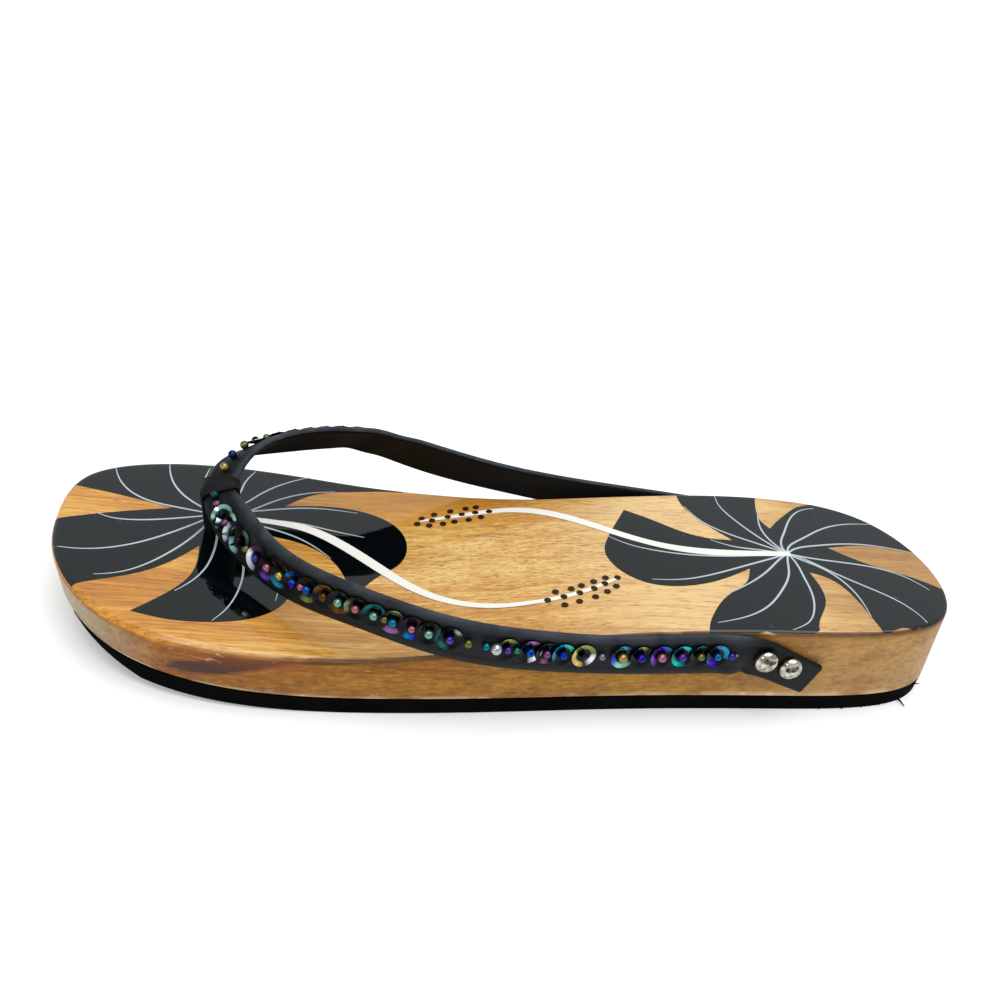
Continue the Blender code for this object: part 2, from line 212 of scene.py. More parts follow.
def smooth_curve(knots, values, at):
    """Natural cubic curve through the values at the knots, read at the given places."""
    knots = np.asarray(knots, float)
    values = np.asarray(values, float)
    count = len(knots)
    gaps = np.diff(knots)
    slopes = np.diff(values, axis=0) / gaps[:, None]
    system = np.eye(count)
    right = np.zeros_like(values)
    for i in range(1, count - 1):
        system[i, i - 1 : i + 2] = gaps[i - 1], 2 * (gaps[i - 1] + gaps[i]), gaps[i]
        right[i] = 6 * (slopes[i] - slopes[i - 1])
    bends = np.linalg.solve(system, right)
    at = np.asarray(at, float)
    span = np.clip(np.searchsorted(knots, at) - 1, 0, count - 2)
    gap = gaps[span][:, None]
    ahead = (knots[span + 1] - at)[:, None]
    behind = (at - knots[span])[:, None]
    curved = (bends[span] * ahead**3 + bends[span + 1] * behind**3) / (6 * gap)
    before = (values[span] / gap - bends[span] * gap / 6) * ahead
    after = (values[span + 1] / gap - bends[span + 1] * gap / 6) * behind
    return curved + before + after


count = len(SOLE_OUTLINE)
turns = np.arange(-4, count + 5)
around = np.linspace(0, count, OUTLINE_POINTS, endpoint=False)
outline = smooth_curve(turns, [SOLE_OUTLINE[i % count] for i in turns], around)
edge_way = np.roll(outline, -1, axis=0) - np.roll(outline, 1, axis=0)
edge_way /= np.linalg.norm(edge_way, axis=1)[:, None]
inward = np.column_stack([edge_way[:, 1], -edge_way[:, 0]])


def inset_ring(inset):
    """The sole's outline, moved in by the inset."""
    return outline + inward * np.broadcast_to(inset, len(outline))[:, None]


def floor_side(x):
    """Height of the outsole's underside: flat on the floor, then rising under the toe."""
    reach = (x - SPRING_START) / (outline[:, 0].max() - SPRING_START)
    return SPRING_RISE * np.clip(reach, 0, None) ** 2


def laid_grid(mesh, steps, rows, place, mark=None):
    """A grid of steps by rows, each of its points laid where place(step, row) says, and then marked."""
    for vert in bmesh.ops.create_grid(mesh, x_segments=steps, y_segments=rows, size=1.0)["verts"]:
        step = round((vert.co.x + 1) / 2 * steps)
        row = round((vert.co.y + 1) / 2 * rows)
        vert.co = Vector(place(step, row)) * MM
        if mark:
            mark(vert, step, row)


def sole_layer(levels):
    """A closed layer of the sole from rings at given insets, heights and leans, cut across the foot."""
    mesh = bmesh.new()
    rings = []
    for inset, height, lean in levels:
        flat = inset_ring(inset) - (lean, 0.0)
        rings.append(np.column_stack([flat, height(flat[:, 0])]))
    laid_grid(mesh, len(rings) - 1, len(outline), lambda step, row: rings[step][row % len(outline)])
    bmesh.ops.remove_doubles(mesh, verts=mesh.verts, dist=MERGE)
    caps = bmesh.ops.holes_fill(mesh, edges=mesh.edges, sides=0)["faces"]
    for x in np.arange(SOLE_CUTS[0], SOLE_CUTS[1], SOLE_STATION):
        edges = {edge for face in caps for edge in face.edges}
        verts = {vert for face in caps for vert in face.verts}
        found = bmesh.ops.bisect_plane(
            mesh,
            geom=[*caps, *edges, *verts],
            dist=CUT_SNAP,
            plane_co=(x * MM, 0, 0),
            plane_no=(1, 0, 0),
        )["geom"]
        caps = [part for part in found if isinstance(part, bmesh.types.BMFace)]
    bmesh.ops.recalc_face_normals(mesh, faces=mesh.faces)
    return mesh


def add_piece(name, mesh, finishes, stands_for=(), sharp=None):
    """Makes a piece of the shoe from a finished mesh."""
    made_data = bpy.data.meshes.new(name)
    mesh.to_mesh(made_data)
    mesh.free()
    for finish in finishes:
        made_data.materials.append(finish)
    made_data.shade_smooth()
    if sharp is not None:
        made_data.set_sharp_from_angle(angle=math.radians(sharp))
    piece = bpy.data.objects.new(name, made_data)
    bpy.context.scene.collection.objects.link(piece)
    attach(piece, "root")
    if stands_for:
        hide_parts(*stands_for)
    return piece


# Sponge rubber: matte black with fine open pores about 0.4 mm across, greyed by dust where it was cut.
rubber, tree, sockets = start_material("sponge_rubber", {"Roughness": 0.9, "Specular IOR Level": 0.03})
at = add_node(tree, "TexCoord", give="Object")
pores = add_node(tree, "TexNoise", {"Vector": at, "Scale": 1 / (0.9 * MM), "Detail": 4.0})
dust = add_node(tree, "TexNoise", {"Vector": at, "Scale": 1 / (9 * MM), "Detail": 5.0})
shade = add_node(tree, "ValToRGB", {"Fac": dust}, stops=((0.45, RUBBER_BLACK), (0.75, RUBBER_DUST)))
grit = add_node(tree, "Bump", {"Height": pores, "Strength": 0.6, "Distance": 0.25 * MM})
tree.links.new(shade, sockets["Base Color"])
tree.links.new(grit, sockets["Normal"])

outsole_levels = (
    (SOLE_DRAFT + 2 * OUTSOLE_EDGE, floor_side, SOLE_LEAN),
    (SOLE_DRAFT + OUTSOLE_EDGE, lambda x: floor_side(x) + OUTSOLE_EDGE, SOLE_LEAN),
    (SOLE_DRAFT, lambda x: floor_side(x) + OUTSOLE_THICK, SOLE_LEAN),
)
outsole = sole_layer(outsole_levels)
pare = math.radians(PARE_ANGLE)
pared = bmesh.ops.bisect_plane(
    outsole,
    geom=outsole.verts[:] + outsole.edges[:] + outsole.faces[:],
    plane_co=Vector((PARE_START, 0.0, floor_side(PARE_START))) * MM,
    plane_no=(-math.sin(pare), 0.0, math.cos(pare)),
    clear_inner=True,
)["geom_cut"]
bmesh.ops.holes_fill(outsole, edges=[part for part in pared if isinstance(part, bmesh.types.BMEdge)])
bmesh.ops.recalc_face_normals(outsole, faces=outsole.faces)
add_piece("rubber_outsole", outsole, [rubber], ["outsole"], sharp=40)

strands = bmesh.new()
for strand in TORN_STRANDS:
    ends = np.array(strand)

    def on_strand(step, row):
        part = 2 * step / STRAND_STEPS
        first = min(int(part), 1)
        middle = ends[first] + (part - first) * (ends[first + 1] - ends[first])
        radius = STRAND_RADIUS * (1 - STRAND_TAPER * step / STRAND_STEPS)
        turn = 2 * math.pi * row / STRAND_SIDES
        return middle + radius * np.array((math.cos(turn), 0.0, math.sin(turn)))

    laid_grid(strands, STRAND_STEPS, STRAND_SIDES, on_strand)
bmesh.ops.remove_doubles(strands, verts=strands.verts, dist=MERGE)
bmesh.ops.holes_fill(strands, edges=strands.edges, sides=STRAND_SIDES)
for number, (x, y) in enumerate(inset_ring(SOLE_DRAFT + CRUMB_INSET) - (SOLE_LEAN, 0.0)):
    if y > 0 and CRUMBLED[0] < x < CRUMBLED[1] and number % 2:
        size = CRUMB_HALF + CRUMB_SPREAD * math.sin(2.3 * number)
        height = size + CRUMB_HEIGHT * (1 + math.sin(1.7 * number))
        place = Matrix.Translation(Vector((x, y, height)) * MM)
        bmesh.ops.create_icosphere(strands, subdivisions=1, radius=size * MM, matrix=place)
bmesh.ops.recalc_face_normals(strands, faces=strands.faces)
add_piece("torn_edge", strands, [rubber])

# Wooden sole
# One block of light tropical hardwood, sawn to the foot's outline, sanded and dipped in clear lacquer. The
# grain runs from heel to toe, and a streak of dark heartwood comes out in the outer wall by the toes.
WOOD_PALE = "#E2BA6E"
WOOD_HONEY = "#C99344"
WOOD_TAN = "#AA7432"
WOOD_STREAK = "#A8652A"
WOOD_PORE = "#7A4A20"
TOE_AMBER = "#FAEAC6"
SHANK_PALE = "#E6C68E"
HEEL_PALE = "#D0AA70"
HEEL_AMBER = "#DED2BE"
TOE_GREY = "#AFA688"
WALL_TINT = "#BDA44B"
WALL_CLOUD = "#B08A68"
REDWOOD = "#7A3C1A"
HEARTWOOD = "#38221B"
LINING_MIRROR_AMBER = "#D08A28"
RIM_WEAR_AND_SHADE = "#381C0E"
PALE_SCUFF_AND_HIGHLIGHT = "#E9CBA0"
SCUFF_WHITE = "#E4D3B8"
GLUE_GAP = 0.3
# Footbed along the foot: x, height of the wood's top, radius of its rounded edge
FOOTBED = (
    (-124, 27.9, 1.0), (-80, 27.7, 1.0), (-40, 27.1, 1.0), (-20, 25.9, 1.0), (0, 23.2, 1.0),
    (20, 20.2, 1.0), (40, 18.1, 1.1), (60, 17.9, 1.4), (90, 18.7, 2.4), (124, 19.3, 1.5),
)
# A distance in from the outline where the bed is flat
WELL_IN = 9.0
EDGE_INSETS = (0.0, 0.04, 0.12, 0.25, 0.42, 0.65, 0.95, 1.4, 1.9, 2.5, 4.5)
# Figure of the wood: length along the foot, width, detail
GRAIN = {"bands": (150.0, 15.0, 2.0), "streaks": (90.0, 2.6, 3.0), "fibres": (40.0, 0.8, 4.0),
         "pores": (4.5, 0.4, 3.0), "dashes": (8.0, 0.28, 3.0), "specks": (2.2, 0.9, 4.0),
         "clouds": (11.0, 6.0, 4.0), "wear": (12.0, 5.0, 4.0), "flecks": (3.2, 1.3, 3.0)}
# Darker parts of the block: the streak of heartwood; the waist, darker partly in its own tone and partly as
# painted shade from the strap; and the arch, a painted reflection of the strap's dark lining in the
# lacquer. Each is given by its middle, its half size each way, and its tilt in degrees
LENSES = {"heart": ((73.5, 40.0, 13.4), (23.0, 12.0, 3.4), 15.0),
          "waist": ((2.0, 2.0, 24.0), (48.0, 20.0, 60.0), 0.0),
          "arch": ((26.0, -27.0, 20.0), (34.0, 14.0, 60.0), 0.0)}


def footbed(x, inset):
    """Height of the wood's top at a distance in from the outline, with its rounded edge."""
    table = np.array(FOOTBED, float)
    top, radius = smooth_curve(table[:, 0], table[:, 1:], x).T
    short = np.clip(radius - inset, 0, None)
    return top - radius + np.sqrt(radius**2 - short**2)


def wood_underside(x):
    """Height of the wood's underside, a film of glue above the outsole."""
    return floor_side(x) + OUTSOLE_THICK + GLUE_GAP


wood_levels = [
    (SOLE_DRAFT + OUTSOLE_EDGE, wood_underside, SOLE_LEAN),
    (SOLE_DRAFT, lambda x: wood_underside(x) + OUTSOLE_EDGE, SOLE_LEAN),
]
for inset in EDGE_INSETS:
    wood_levels.append((inset, lambda x, inset=inset: footbed(x, inset), 0.0))
wood = sole_layer(wood_levels)
wall = wood.verts.layers.float.new("wall")
wood_tree = BVHTree.FromBMesh(wood)
bed = np.array(FOOTBED, float)
for vert in wood.verts:
    x, z = vert.co.x / MM, vert.co.z / MM
    radius = np.interp(x, bed[:, 0], bed[:, 2])
    drop = footbed(np.array([x]), WELL_IN)[0] - z
    height = z + drop - radius - wood_underside(x)
    vert[wall] = float(max(0, drop / radius if drop < radius else 1 + (drop - radius) / height))

# Lacquered hardwood: golden and half matte under a clear mirror-like coat on top and a thin one on the sawn
# wall. Bands of growth are about 15 mm wide, orange streaks 3 mm and fibres 1 mm, and the pores are short
# dark dashes. The wall is browner, with scuffs along its edges. At the toe a pale line runs along its rim,
# partly worn and partly a painted highlight. A dark line also runs along its rim, partly bare worn wood and
# partly painted shade from the strap. Painted shade and reflection of the strap also darken the middle of
# the bed and colour the wood under the inner branch. The toe's end is greyed, partly by scuffs and partly
# by a painted reflection of the white table.
values = {"Specular IOR Level": 0.15, "Coat Roughness": 0.05}
lacquered, tree, sockets = start_material("lacquered_hardwood", values)
at = add_node(tree, "TexCoord", give="Object")
figure = {
    "along": add_node(tree, "SeparateXYZ", {"Vector": at}, give="X"),
    "down": add_node(tree, "Attribute", give="Fac", attribute_name="wall"),
}
for name, (length, width, detail) in GRAIN.items():
    scale = (1 / (length * MM), 1 / (width * MM), 1 / (width * MM))
    placed = add_node(tree, "Mapping", {"Vector": at, "Scale": scale})
    inputs = {"Vector": placed, "Scale": 1.0, "Detail": detail, "Distortion": 0.1}
    figure[name] = add_node(tree, "TexNoise", inputs)
growth = add_node(tree, "Mix", {"Factor": 0.45, "A": figure["bands"], "B": figure["fibres"]})
stops = ((0.38, WOOD_PALE), (0.51, WOOD_HONEY), (0.64, WOOD_TAN))
colour = add_node(tree, "ValToRGB", {"Fac": growth}, stops=stops)

# Each darker part is a lens in the block, painted shade and reflection among them, and the heartwood is
# ragged along the fibres
for name, (middle, half, tilt) in LENSES.items():
    inputs = {"Vector": at, "Location": Vector(middle) * MM, "Scale": Vector(half) * MM}
    inputs["Rotation"] = (0.0, math.radians(tilt), 0.0)
    placed = add_node(tree, "Mapping", inputs, vector_type="TEXTURE")
    figure[name] = add_node(tree, "TexGradient", {"Vector": placed}, give="Fac", gradient_type="SPHERICAL")
inputs = {"Value": figure["streaks"], "Value_001": 0.9, "Value_002": figure["heart"]}
ragged = add_node(tree, "Math", inputs, operation="MULTIPLY_ADD")
inputs = {"Value": figure["fibres"], "Value_001": 0.5, "Value_002": ragged}
figure["ragged"] = add_node(tree, "Math", inputs, operation="MULTIPLY_ADD")

# Layers over the bands: colour, blend and strength, and each figure that it follows, from none to all of it
in_wall = ("down", 0.9, 1.1)
by_heel = ("along", -50 * MM, -85 * MM)
worn_and_shaded_rim = (("down", 0.03, 0.12), ("down", 1.06, 0.98), ("along", 66 * MM, 52 * MM))
fore_rim = (("along", -70 * MM, -40 * MM), ("down", 0.6, 0.95), ("down", 1.3, 1.1))
toe_side = (("along", 46 * MM, 58 * MM), ("along", 94 * MM, 82 * MM))
nicked = (("flecks", 0.6, 0.68), ("wear", 0.5, 0.6))
layers = (
    (SHANK_PALE, "MIX", 0.65, (("along", -2 * MM, -34 * MM), ("along", -95 * MM, -60 * MM))),
    (HEEL_PALE, "MIX", 0.5, (("along", -60 * MM, -95 * MM),)),
    (WOOD_STREAK, "MIX", 0.55, (("streaks", 0.54, 0.7),)),
    (WOOD_PORE, "MIX", 0.6, (("pores", 0.56, 0.68),)),
    (WOOD_PORE, "MIX", 0.35, (("dashes", 0.55, 0.65),)),
    # Painted shade: the middle of the bed, between the strap's branches, is darkened for the strap's shade
    # and mirrored underside, besides the wood's tone.
    (WOOD_TAN, "MIX", 0.12, (("waist", 0.0, 0.5),)),
    (WOOD_PORE, "MIX", 0.42, (("dashes", 0.54, 0.62), ("waist", 0.0, 0.4))),
    # Painted reflection: deep amber where the lacquer mirrors the dark lining of the strap's inner branch
    # and lies in its shade.
    (LINING_MIRROR_AMBER, "MIX", 0.55, (("arch", 0.0, 0.5),)),
    (TOE_AMBER, "MULTIPLY", 1.0, (("along", 35 * MM, 85 * MM),)),
    (HEEL_AMBER, "MULTIPLY", 1.0, (("along", -78 * MM, -100 * MM), ("down", 1.0, 0.6))),
    (WALL_TINT, "MULTIPLY", 1.0, (("down", 0.6, 1.05),)),
    (HEEL_PALE, "MIX", 0.35, (by_heel, in_wall)),
    (WALL_CLOUD, "MULTIPLY", 0.4, (("clouds", 0.45, 0.62), in_wall)),
    # The toe's end wall greyed, partly by scuffs and partly as a painted reflection of the white table in
    # the lacquer.
    (TOE_GREY, "MIX", 0.68, (("along", 88 * MM, 112 * MM), in_wall)),
    (WOOD_PORE, "MIX", 0.4, (("specks", 0.5, 0.7), in_wall)),
    (WOOD_PALE, "MIX", 0.12, (("specks", 0.5, 0.34), in_wall)),
    (REDWOOD, "MIX", 0.6, (("ragged", 0.62, 0.95), ("heart", 0.0, 0.1), in_wall)),
    (HEARTWOOD, "MIX", 0.9, (("ragged", 0.9, 1.12), ("heart", 0.0, 0.2), in_wall)),
    (REDWOOD, "MIX", 0.6, (("down", 0.1, 0.3), ("down", 1.45, 1.05), *toe_side)),
    # Pale line on the rim at the toe: partly wear, partly a painted highlight on the rounded edge.
    (PALE_SCUFF_AND_HIGHLIGHT, "MIX", 0.4, (("wear", 0.42, 0.54), ("down", 0.12, 0.22), ("down", 0.5, 0.35), *toe_side)),
    # Dark line along the rim: partly bare worn wood, partly painted shade where the strap shades the wall.
    (RIM_WEAR_AND_SHADE, "MIX", 0.8, (("wear", 0.28, 0.4), *worn_and_shaded_rim)),
    (PALE_SCUFF_AND_HIGHLIGHT, "MIX", 0.45, (("wear", 0.4, 0.52), ("down", 1.9, 1.97))),
    (SCUFF_WHITE, "MIX", 0.8, (*nicked, ("down", 1.78, 1.95))),
    (SCUFF_WHITE, "MIX", 0.8, (*nicked, *fore_rim)),
)
for code, blend, amount, follows in layers:
    for name, none, most in follows:
        inputs = {"Value": figure[name], "From Min": none, "From Max": most, "To Max": amount}
        amount = add_node(tree, "MapRange", inputs)
    inputs = {"Factor": amount, "A": colour, "B": linear(code)}
    colour = add_node(tree, "Mix", inputs, data_type="RGBA", blend_type=blend)
tree.links.new(colour, sockets["Base Color"])
relief = add_node(tree, "Bump", {"Height": figure["fibres"], "Strength": 0.25, "Distance": 0.08 * MM})
tree.links.new(relief, sockets["Normal"])
for name, on_top, on_wall in (("Roughness", 0.45, 0.6), ("Coat Weight", 1.0, 0.15)):
    inputs = {"Value": figure["down"], "From Min": 0.05, "From Max": 0.3}
    inputs |= {"To Min": on_top, "To Max": on_wall}
    tree.links.new(add_node(tree, "MapRange", inputs), sockets[name])

add_piece("lacquered_sole", wood, [lacquered], ["wooden_sole"], sharp=50)

# Painted flowers
# Two five-petalled blossoms in black enamel, one at the toe and one at the heel, brushed on over the
# lacquer with white veins and stems, each stem ending in a spray of small brown dots. The rim has lost a
# few chips.
PAINT_THICK = 0.07
PAINT_STATION = 3.0
PETAL_STEP = 1.0
BRUSH_STEP = 1.2
VEIN_WIDTH = 0.55
DOT_WIDTH = 1.85
DOT_SIDES = 14
# Heights to look down on the bed from, and about the rim's
CAST_FROM = 60.0
RIM_HEIGHT = 26.0
# Half the length of the lines that cut the petals across the foot, and how far in the first one is
LINE_REACH = 60.0
LINE_START = 0.37
# Heights of the coats over the wood and their thicknesses, in coats of paint
VEIN_LIFT = 2.0
VEIN_LIFT_STEP = 0.05
STEM_LIFT = 3.0
DOT_LIFT = 4.0
COAT = 1.5
DOT_COAT = 3.0
# Petals: the runs of each outline, smooth along a run and cornered where two runs meet
TOE_PETALS = (
    (((94, -16), (108, -20), (126, -24)), ((126, -24), (120, -42), (102, -48), (84, -48)),
     ((84, -48), (83, -36), (81, -26)), ((81, -26), (80, -13), (94, -16))),
    (((94, -16), (108, -12), (127, -5)), ((127, -5), (127, 10), (117, 26)),
     ((117, 23), (112.5, 20), (99, 14), (88.5, 5), (84.8, 0)), ((84.8, 0), (78, -12), (94, -16))),
    (((84.8, 0), (84.5, 6.5), (85.5, 13), (90, 20.5), (97.5, 28.5)),
     ((97.5, 28.5), (91, 30.2), (78, 30.4), (67, 27), (61, 20.5), (60, 13), (63, 4), (69, -7.5)),
     ((69, -7.5), (84, -16), (84.8, 0))),
    (((69, -7.5), (57.5, -4.5), (49, 3), (45.5, 11)), ((45.5, 11), (42, 14)),
     ((42, 14), (37, 7.7), (32, 3), (29.5, -6), (32.5, -15), (40.5, -21.5), (51.5, -23.7), (64, -22)),
     ((64, -22), (84, -17), (69, -7.5))),
    (((64, -22), (55, -29.8), (43.5, -32.5), (35, -33), (30, -32.5)), ((30, -32.5), (36, -44), (78, -48)),
     ((78, -48), (79, -36), (81, -26)), ((81, -26), (86, -12), (64, -22))),
)
HEEL_PETALS = (
    (((-34, -20.5), (-27, -7), (-24.7, 0), (-27, 8), (-33.5, 13.8), (-44.7, 14.7), (-56.5, 10.6),
      (-65.3, 5.3)), ((-65.3, 5.3), (-82, -4), (-64, -8)),
     ((-64, -8), (-57, -8.2), (-50, -10.5), (-41.5, -16), (-34, -20.5))),
    (((-64, -8), (-54.7, -20), (-52.4, -26), (-53, -36)), ((-53, -36), (-80, -38)),
     ((-80, -38), (-76, -24), (-76, -18.7), (-77.7, -15.3)), ((-77.7, -15.3), (-80, -1), (-64, -8))),
    (((-77.7, -15.3), (-81, -19.3), (-85.6, -24), (-90.7, -28.3), (-97, -31), (-103, -36)),
     ((-103, -36), (-122, -28), (-128, -6)), ((-128, -6), (-121, -8.2), (-109, -10.2), (-93, -7.5)),
     ((-93, -7.5), (-76, -2), (-77.7, -15.3))),
    (((-93, -7.5), (-105, 0.4), (-114, 4.2), (-128, 14)), ((-128, 14), (-124, 26), (-112, 34), (-96.5, 36)),
     ((-96.5, 36), (-94.6, 24), (-92.5, 14.7), (-88.3, 7.7), (-83, 5.2)),
     ((-83, 5.2), (-76, -4), (-93, -7.5))),
    (((-65.3, 5.3), (-62.7, 11.4), (-55.7, 17.8), (-50, 25), (-46.4, 33), (-46, 40)),
     ((-46, 40), (-77.4, 40)), ((-77.4, 40), (-77.6, 29), (-83.3, 18.3), (-84, 11), (-83, 5.2)),
     ((-83, 5.2), (-80, -8), (-65.3, 5.3))),
)
TOE_CENTRE = (82.0, -14.7)
HEEL_CENTRE = (-79.2, -2.9)
TOE_VEINS = (
    ((94, -16.7), (101, -18.6), (106.5, -22.4), (110.5, -28.3), (112.7, -34.7)),
    ((86.3, -17.6), (91.4, -22), (95.3, -27.8), (97.4, -34.1), (98.2, -39)),
    ((83.5, -20), (86.5, -25), (87.4, -31), (86.5, -38)),
    ((95.7, -10.3), (103.7, -8.8), (109.6, -9.2), (113.6, -11)),
    ((93.8, -3.6), (101, 1.5), (108.5, 4.7), (115.3, 5.7), (120.4, 5.4)),
    ((87.8, -2), (93.2, 5.9), (98.6, 11.5), (103.5, 14.4), (108.6, 15.7)),
    ((80.7, -3), (81, 4), (82.5, 10.8), (85.3, 16.1), (88.3, 19.8)),
    ((76, -4), (72.6, 7.6), (72.5, 13.7), (73.5, 20.3), (75.6, 26.2), (78, 30)),
    ((74, -7), (67, 4), (63.2, 14), (63.4, 20.5)),
    ((68.3, -19.3), (61.3, -21.3), (53.2, -22.3), (43.2, -21.2)),
    ((68, -14.4), (60, -14.2), (52.8, -12.6), (41.3, -9.5)),
    ((70.7, -11.5), (65.8, -10), (60.5, -7.8), (55.1, -4.1), (50.2, 1)),
    ((79.5, -20), (77, -26), (76, -32), (73.5, -38.5)),
    ((75.5, -20.8), (71.5, -26.4), (64.8, -33.5), (57, -38.7)),
    ((74.7, -17), (70.2, -21), (64.3, -26), (58, -29.5), (50, -31.6)),
)
HEEL_VEINS = (
    ((-70.4, -4), (-62.6, -5), (-57, -7.5)),
    ((-58, 0.3), (-46.3, 0.3), (-38.8, -0.9), (-31.6, -3.5), (-26.5, -7.2)),
    ((-74.3, -0.5), (-63.2, 4.7), (-52.5, 9.5), (-43.5, 12.1), (-35.5, 12.5)),
    ((-77.3, -4.7), (-73.7, -8.9), (-70.2, -13.9), (-66.9, -19.7), (-64.5, -26.5), (-64.6, -31)),
    ((-76, -4.6), (-68.6, -8.3), (-61.5, -12.3), (-56.2, -17.4), (-53.2, -24)),
    ((-78.1, -4.7), (-76, -8.5), (-74.7, -13.7), (-75.2, -19.5), (-76.6, -24.4)),
    ((-78.5, -5.4), (-81.2, -13), (-85.3, -20.4), (-91.4, -26.6), (-96, -28.2)),
    ((-79.8, -4.9), (-85.9, -10.8), (-93.8, -16.5), (-103, -20.4), (-112, -21.5)),
    ((-80.5, -4.3), (-89.1, -7.9), (-100.8, -10.1), (-110.9, -9.8), (-118.8, -8)),
    ((-80.4, -1.8), (-86.4, 2.1), (-92, 8.9), (-94.2, 17), (-94.4, 23.8)),
    ((-81, -2.2), (-89.1, 3.7), (-98.6, 10.7), (-105.8, 16.5), (-109.6, 22.5), (-110.6, 26)),
    ((-83, -2), (-94.8, -0.5), (-106.5, 1.6), (-113.2, 5.2), (-117.6, 10.1)),
    ((-76.9, -1), (-70.9, 5.4), (-62.4, 12.8), (-56, 17.2)),
    ((-78.3, -0.3), (-76.4, 6.7), (-72, 14.3), (-65.8, 21.7), (-58.3, 26.7), (-49.4, 29.8)),
    ((-80, -0.4), (-80.5, 7.6), (-80.4, 14.7), (-78.7, 21.8), (-75.2, 27.6), (-69.5, 31.2)),
)
# Stems: x, y, width along each one, the last point being the far end of the line through its dots
TOE_STEM = ((78, -14.3, 1.9), (66, -13.6, 2.3), (59, -12.4, 2.8), (47.3, -5.4, 3.2), (35.2, 6.6, 2.9),
            (22.9, 17.2, 2.2), (9.3, 21.9, 1.75), (-4, 21.2, 1.4), (-15, 18.3, 1.3), (-26, 12.4, 0.9))
HEEL_STEM = ((-80, -3, 2.0), (-66, -1.7, 2.5), (-50.7, -1.6, 2.8), (-41.7, -3.3, 2.5), (-28, -9.4, 2.5),
             (-14.6, -17, 2.7), (-4, -20.6, 2.4), (5, -20.8, 2.0), (14, -19.4, 1.7), (25.5, -17.4, 0.9))
TOE_DOTS = ((-6, 21), (-10.2, 23.2), (-10.4, 19.9), (-8.5, 17.7), (-12.8, 16.7), (-14.2, 22), (-14.8, 18.5),
            (-15.7, 15.5), (-18.7, 20.3), (-18.9, 16.8), (-19.2, 13.9), (-22.2, 18.2), (-22.1, 14.8),
            (-22.7, 12.3), (-25, 15.9), (-26, 12.2))
HEEL_DOTS = ((26.4, -16), (25, -18.6), (23, -15.1), (22.1, -17.5), (21.4, -20.4), (19.1, -15.7),
             (17.6, -18.9), (16.7, -21.8), (15.8, -16.5), (13.5, -19.9), (12.2, -22.8), (11.7, -17.1),
             (9.6, -20.5), (9.2, -23.3), (8.1, -18.2), (5.6, -20.7))
# Rows of the paint along the rim, as shares of the radius of the rounded edge, the first one its own edge
RIM_SHARES = (0.15, 0.4, 0.7, 1.05, 1.6)
# Chips in the enamel along the rim: x, y, length along the rim, depth
CHIPS = ((-102.0, 28.9, 5.6, 1.2), (-107.0, 27.2, 1.8, 0.5), (-77.0, 32.0, 3.0, 0.9),
         (-62.0, 32.7, 2.0, 0.5), (-121.0, 13.0, 3.0, 0.6), (108.0, -36.0, 3.0, 0.5))
# How square the ends of a chip are, and how ragged its edge
CHIP_SQUARE = 8
CHIP_RAGGED = 0.15
ENAMEL_BLACK = "#040709"
NIB_GREY = "#2C3133"
BRUSH_WHITE = "#E2DFD7"
VEIN_WHITE = "#AEB8BC"
DOT_DARK = "#1C110B"
DOT_BROWN = "#3A2114"


def brush_line(points, spacing):
    """Points at an even spacing along a smooth line through the given ones."""
    points = np.asarray(points, float)
    steps = np.linalg.norm(np.diff(points[:, :2], axis=0), axis=1)
    knots = np.concatenate([[0.0], np.cumsum(steps)])
    count = max(2, round(knots[-1] / spacing))
    return smooth_curve(knots, points, np.linspace(0, knots[-1], count + 1))


def on_bed(x, y, lift):
    """The point of the footbed under x, y, raised by lift."""
    hit = wood_tree.ray_cast(Vector((x, y, CAST_FROM)) * MM, Vector((0, 0, -1)))[0]
    if hit is None:
        hit = wood_tree.find_nearest(Vector((x, y, RIM_HEIGHT)) * MM)[0]
        return hit + Vector((0, 0, lift * MM))
    return Vector((x * MM, y * MM, hit.z + lift * MM))


edge_radius = np.interp(outline[:, 0], bed[:, 0], bed[:, 2])
chipped = RIM_SHARES[0] * edge_radius
for number, (x, y, length, depth) in enumerate(CHIPS):
    away = np.linalg.norm(outline - (x, y), axis=1)
    notch = np.clip(1 - (2 * away / length) ** CHIP_SQUARE, 0, None)
    ragged = 1 - CHIP_RAGGED + CHIP_RAGGED * np.sin(2.2 * outline[:, 0] + number)
    chipped += depth * notch * ragged
paint_rims = [inset_ring(chipped)]
paint_rims += [inset_ring(part * edge_radius) for part in RIM_SHARES[1:]]

petals = bmesh.new()
for flower in (TOE_PETALS, HEEL_PETALS):
    loops = [loop[::-1] for loop in paint_rims]
    for petal in flower:
        loop = np.vstack([brush_line(run, PETAL_STEP)[:-1] for run in petal])
        turned = np.roll(loop, -1, axis=0)
        area = np.sum(loop[:, 0] * turned[:, 1] - loop[:, 1] * turned[:, 0])
        loops.append(loop if area > 0 else loop[::-1])
    points, faces, lines = [], [], []
    for loop in loops:
        faces.append(list(range(len(points), len(points) + len(loop))))
        points.extend(Vector(point) for point in loop)
    reach = np.vstack(loops[len(paint_rims) :])[:, 0]
    for x in np.arange(reach.min() + LINE_START, reach.max(), PAINT_STATION):
        lines.append((len(points), len(points) + 1))
        points.extend((Vector((x, -LINE_REACH)), Vector((x, LINE_REACH))))
    spots, _, cells, _, _, owners = delaunay_2d_cdt(points, lines, faces, 0, 1e-5)
    made = {}
    for cell, owner in zip(cells, owners):
        if 0 not in owner or max(owner) < len(paint_rims):
            continue
        for i in cell:
            if i not in made:
                made[i] = petals.verts.new(on_bed(spots[i].x, spots[i].y, PAINT_THICK))
        petals.faces.new([made[i] for i in cell])


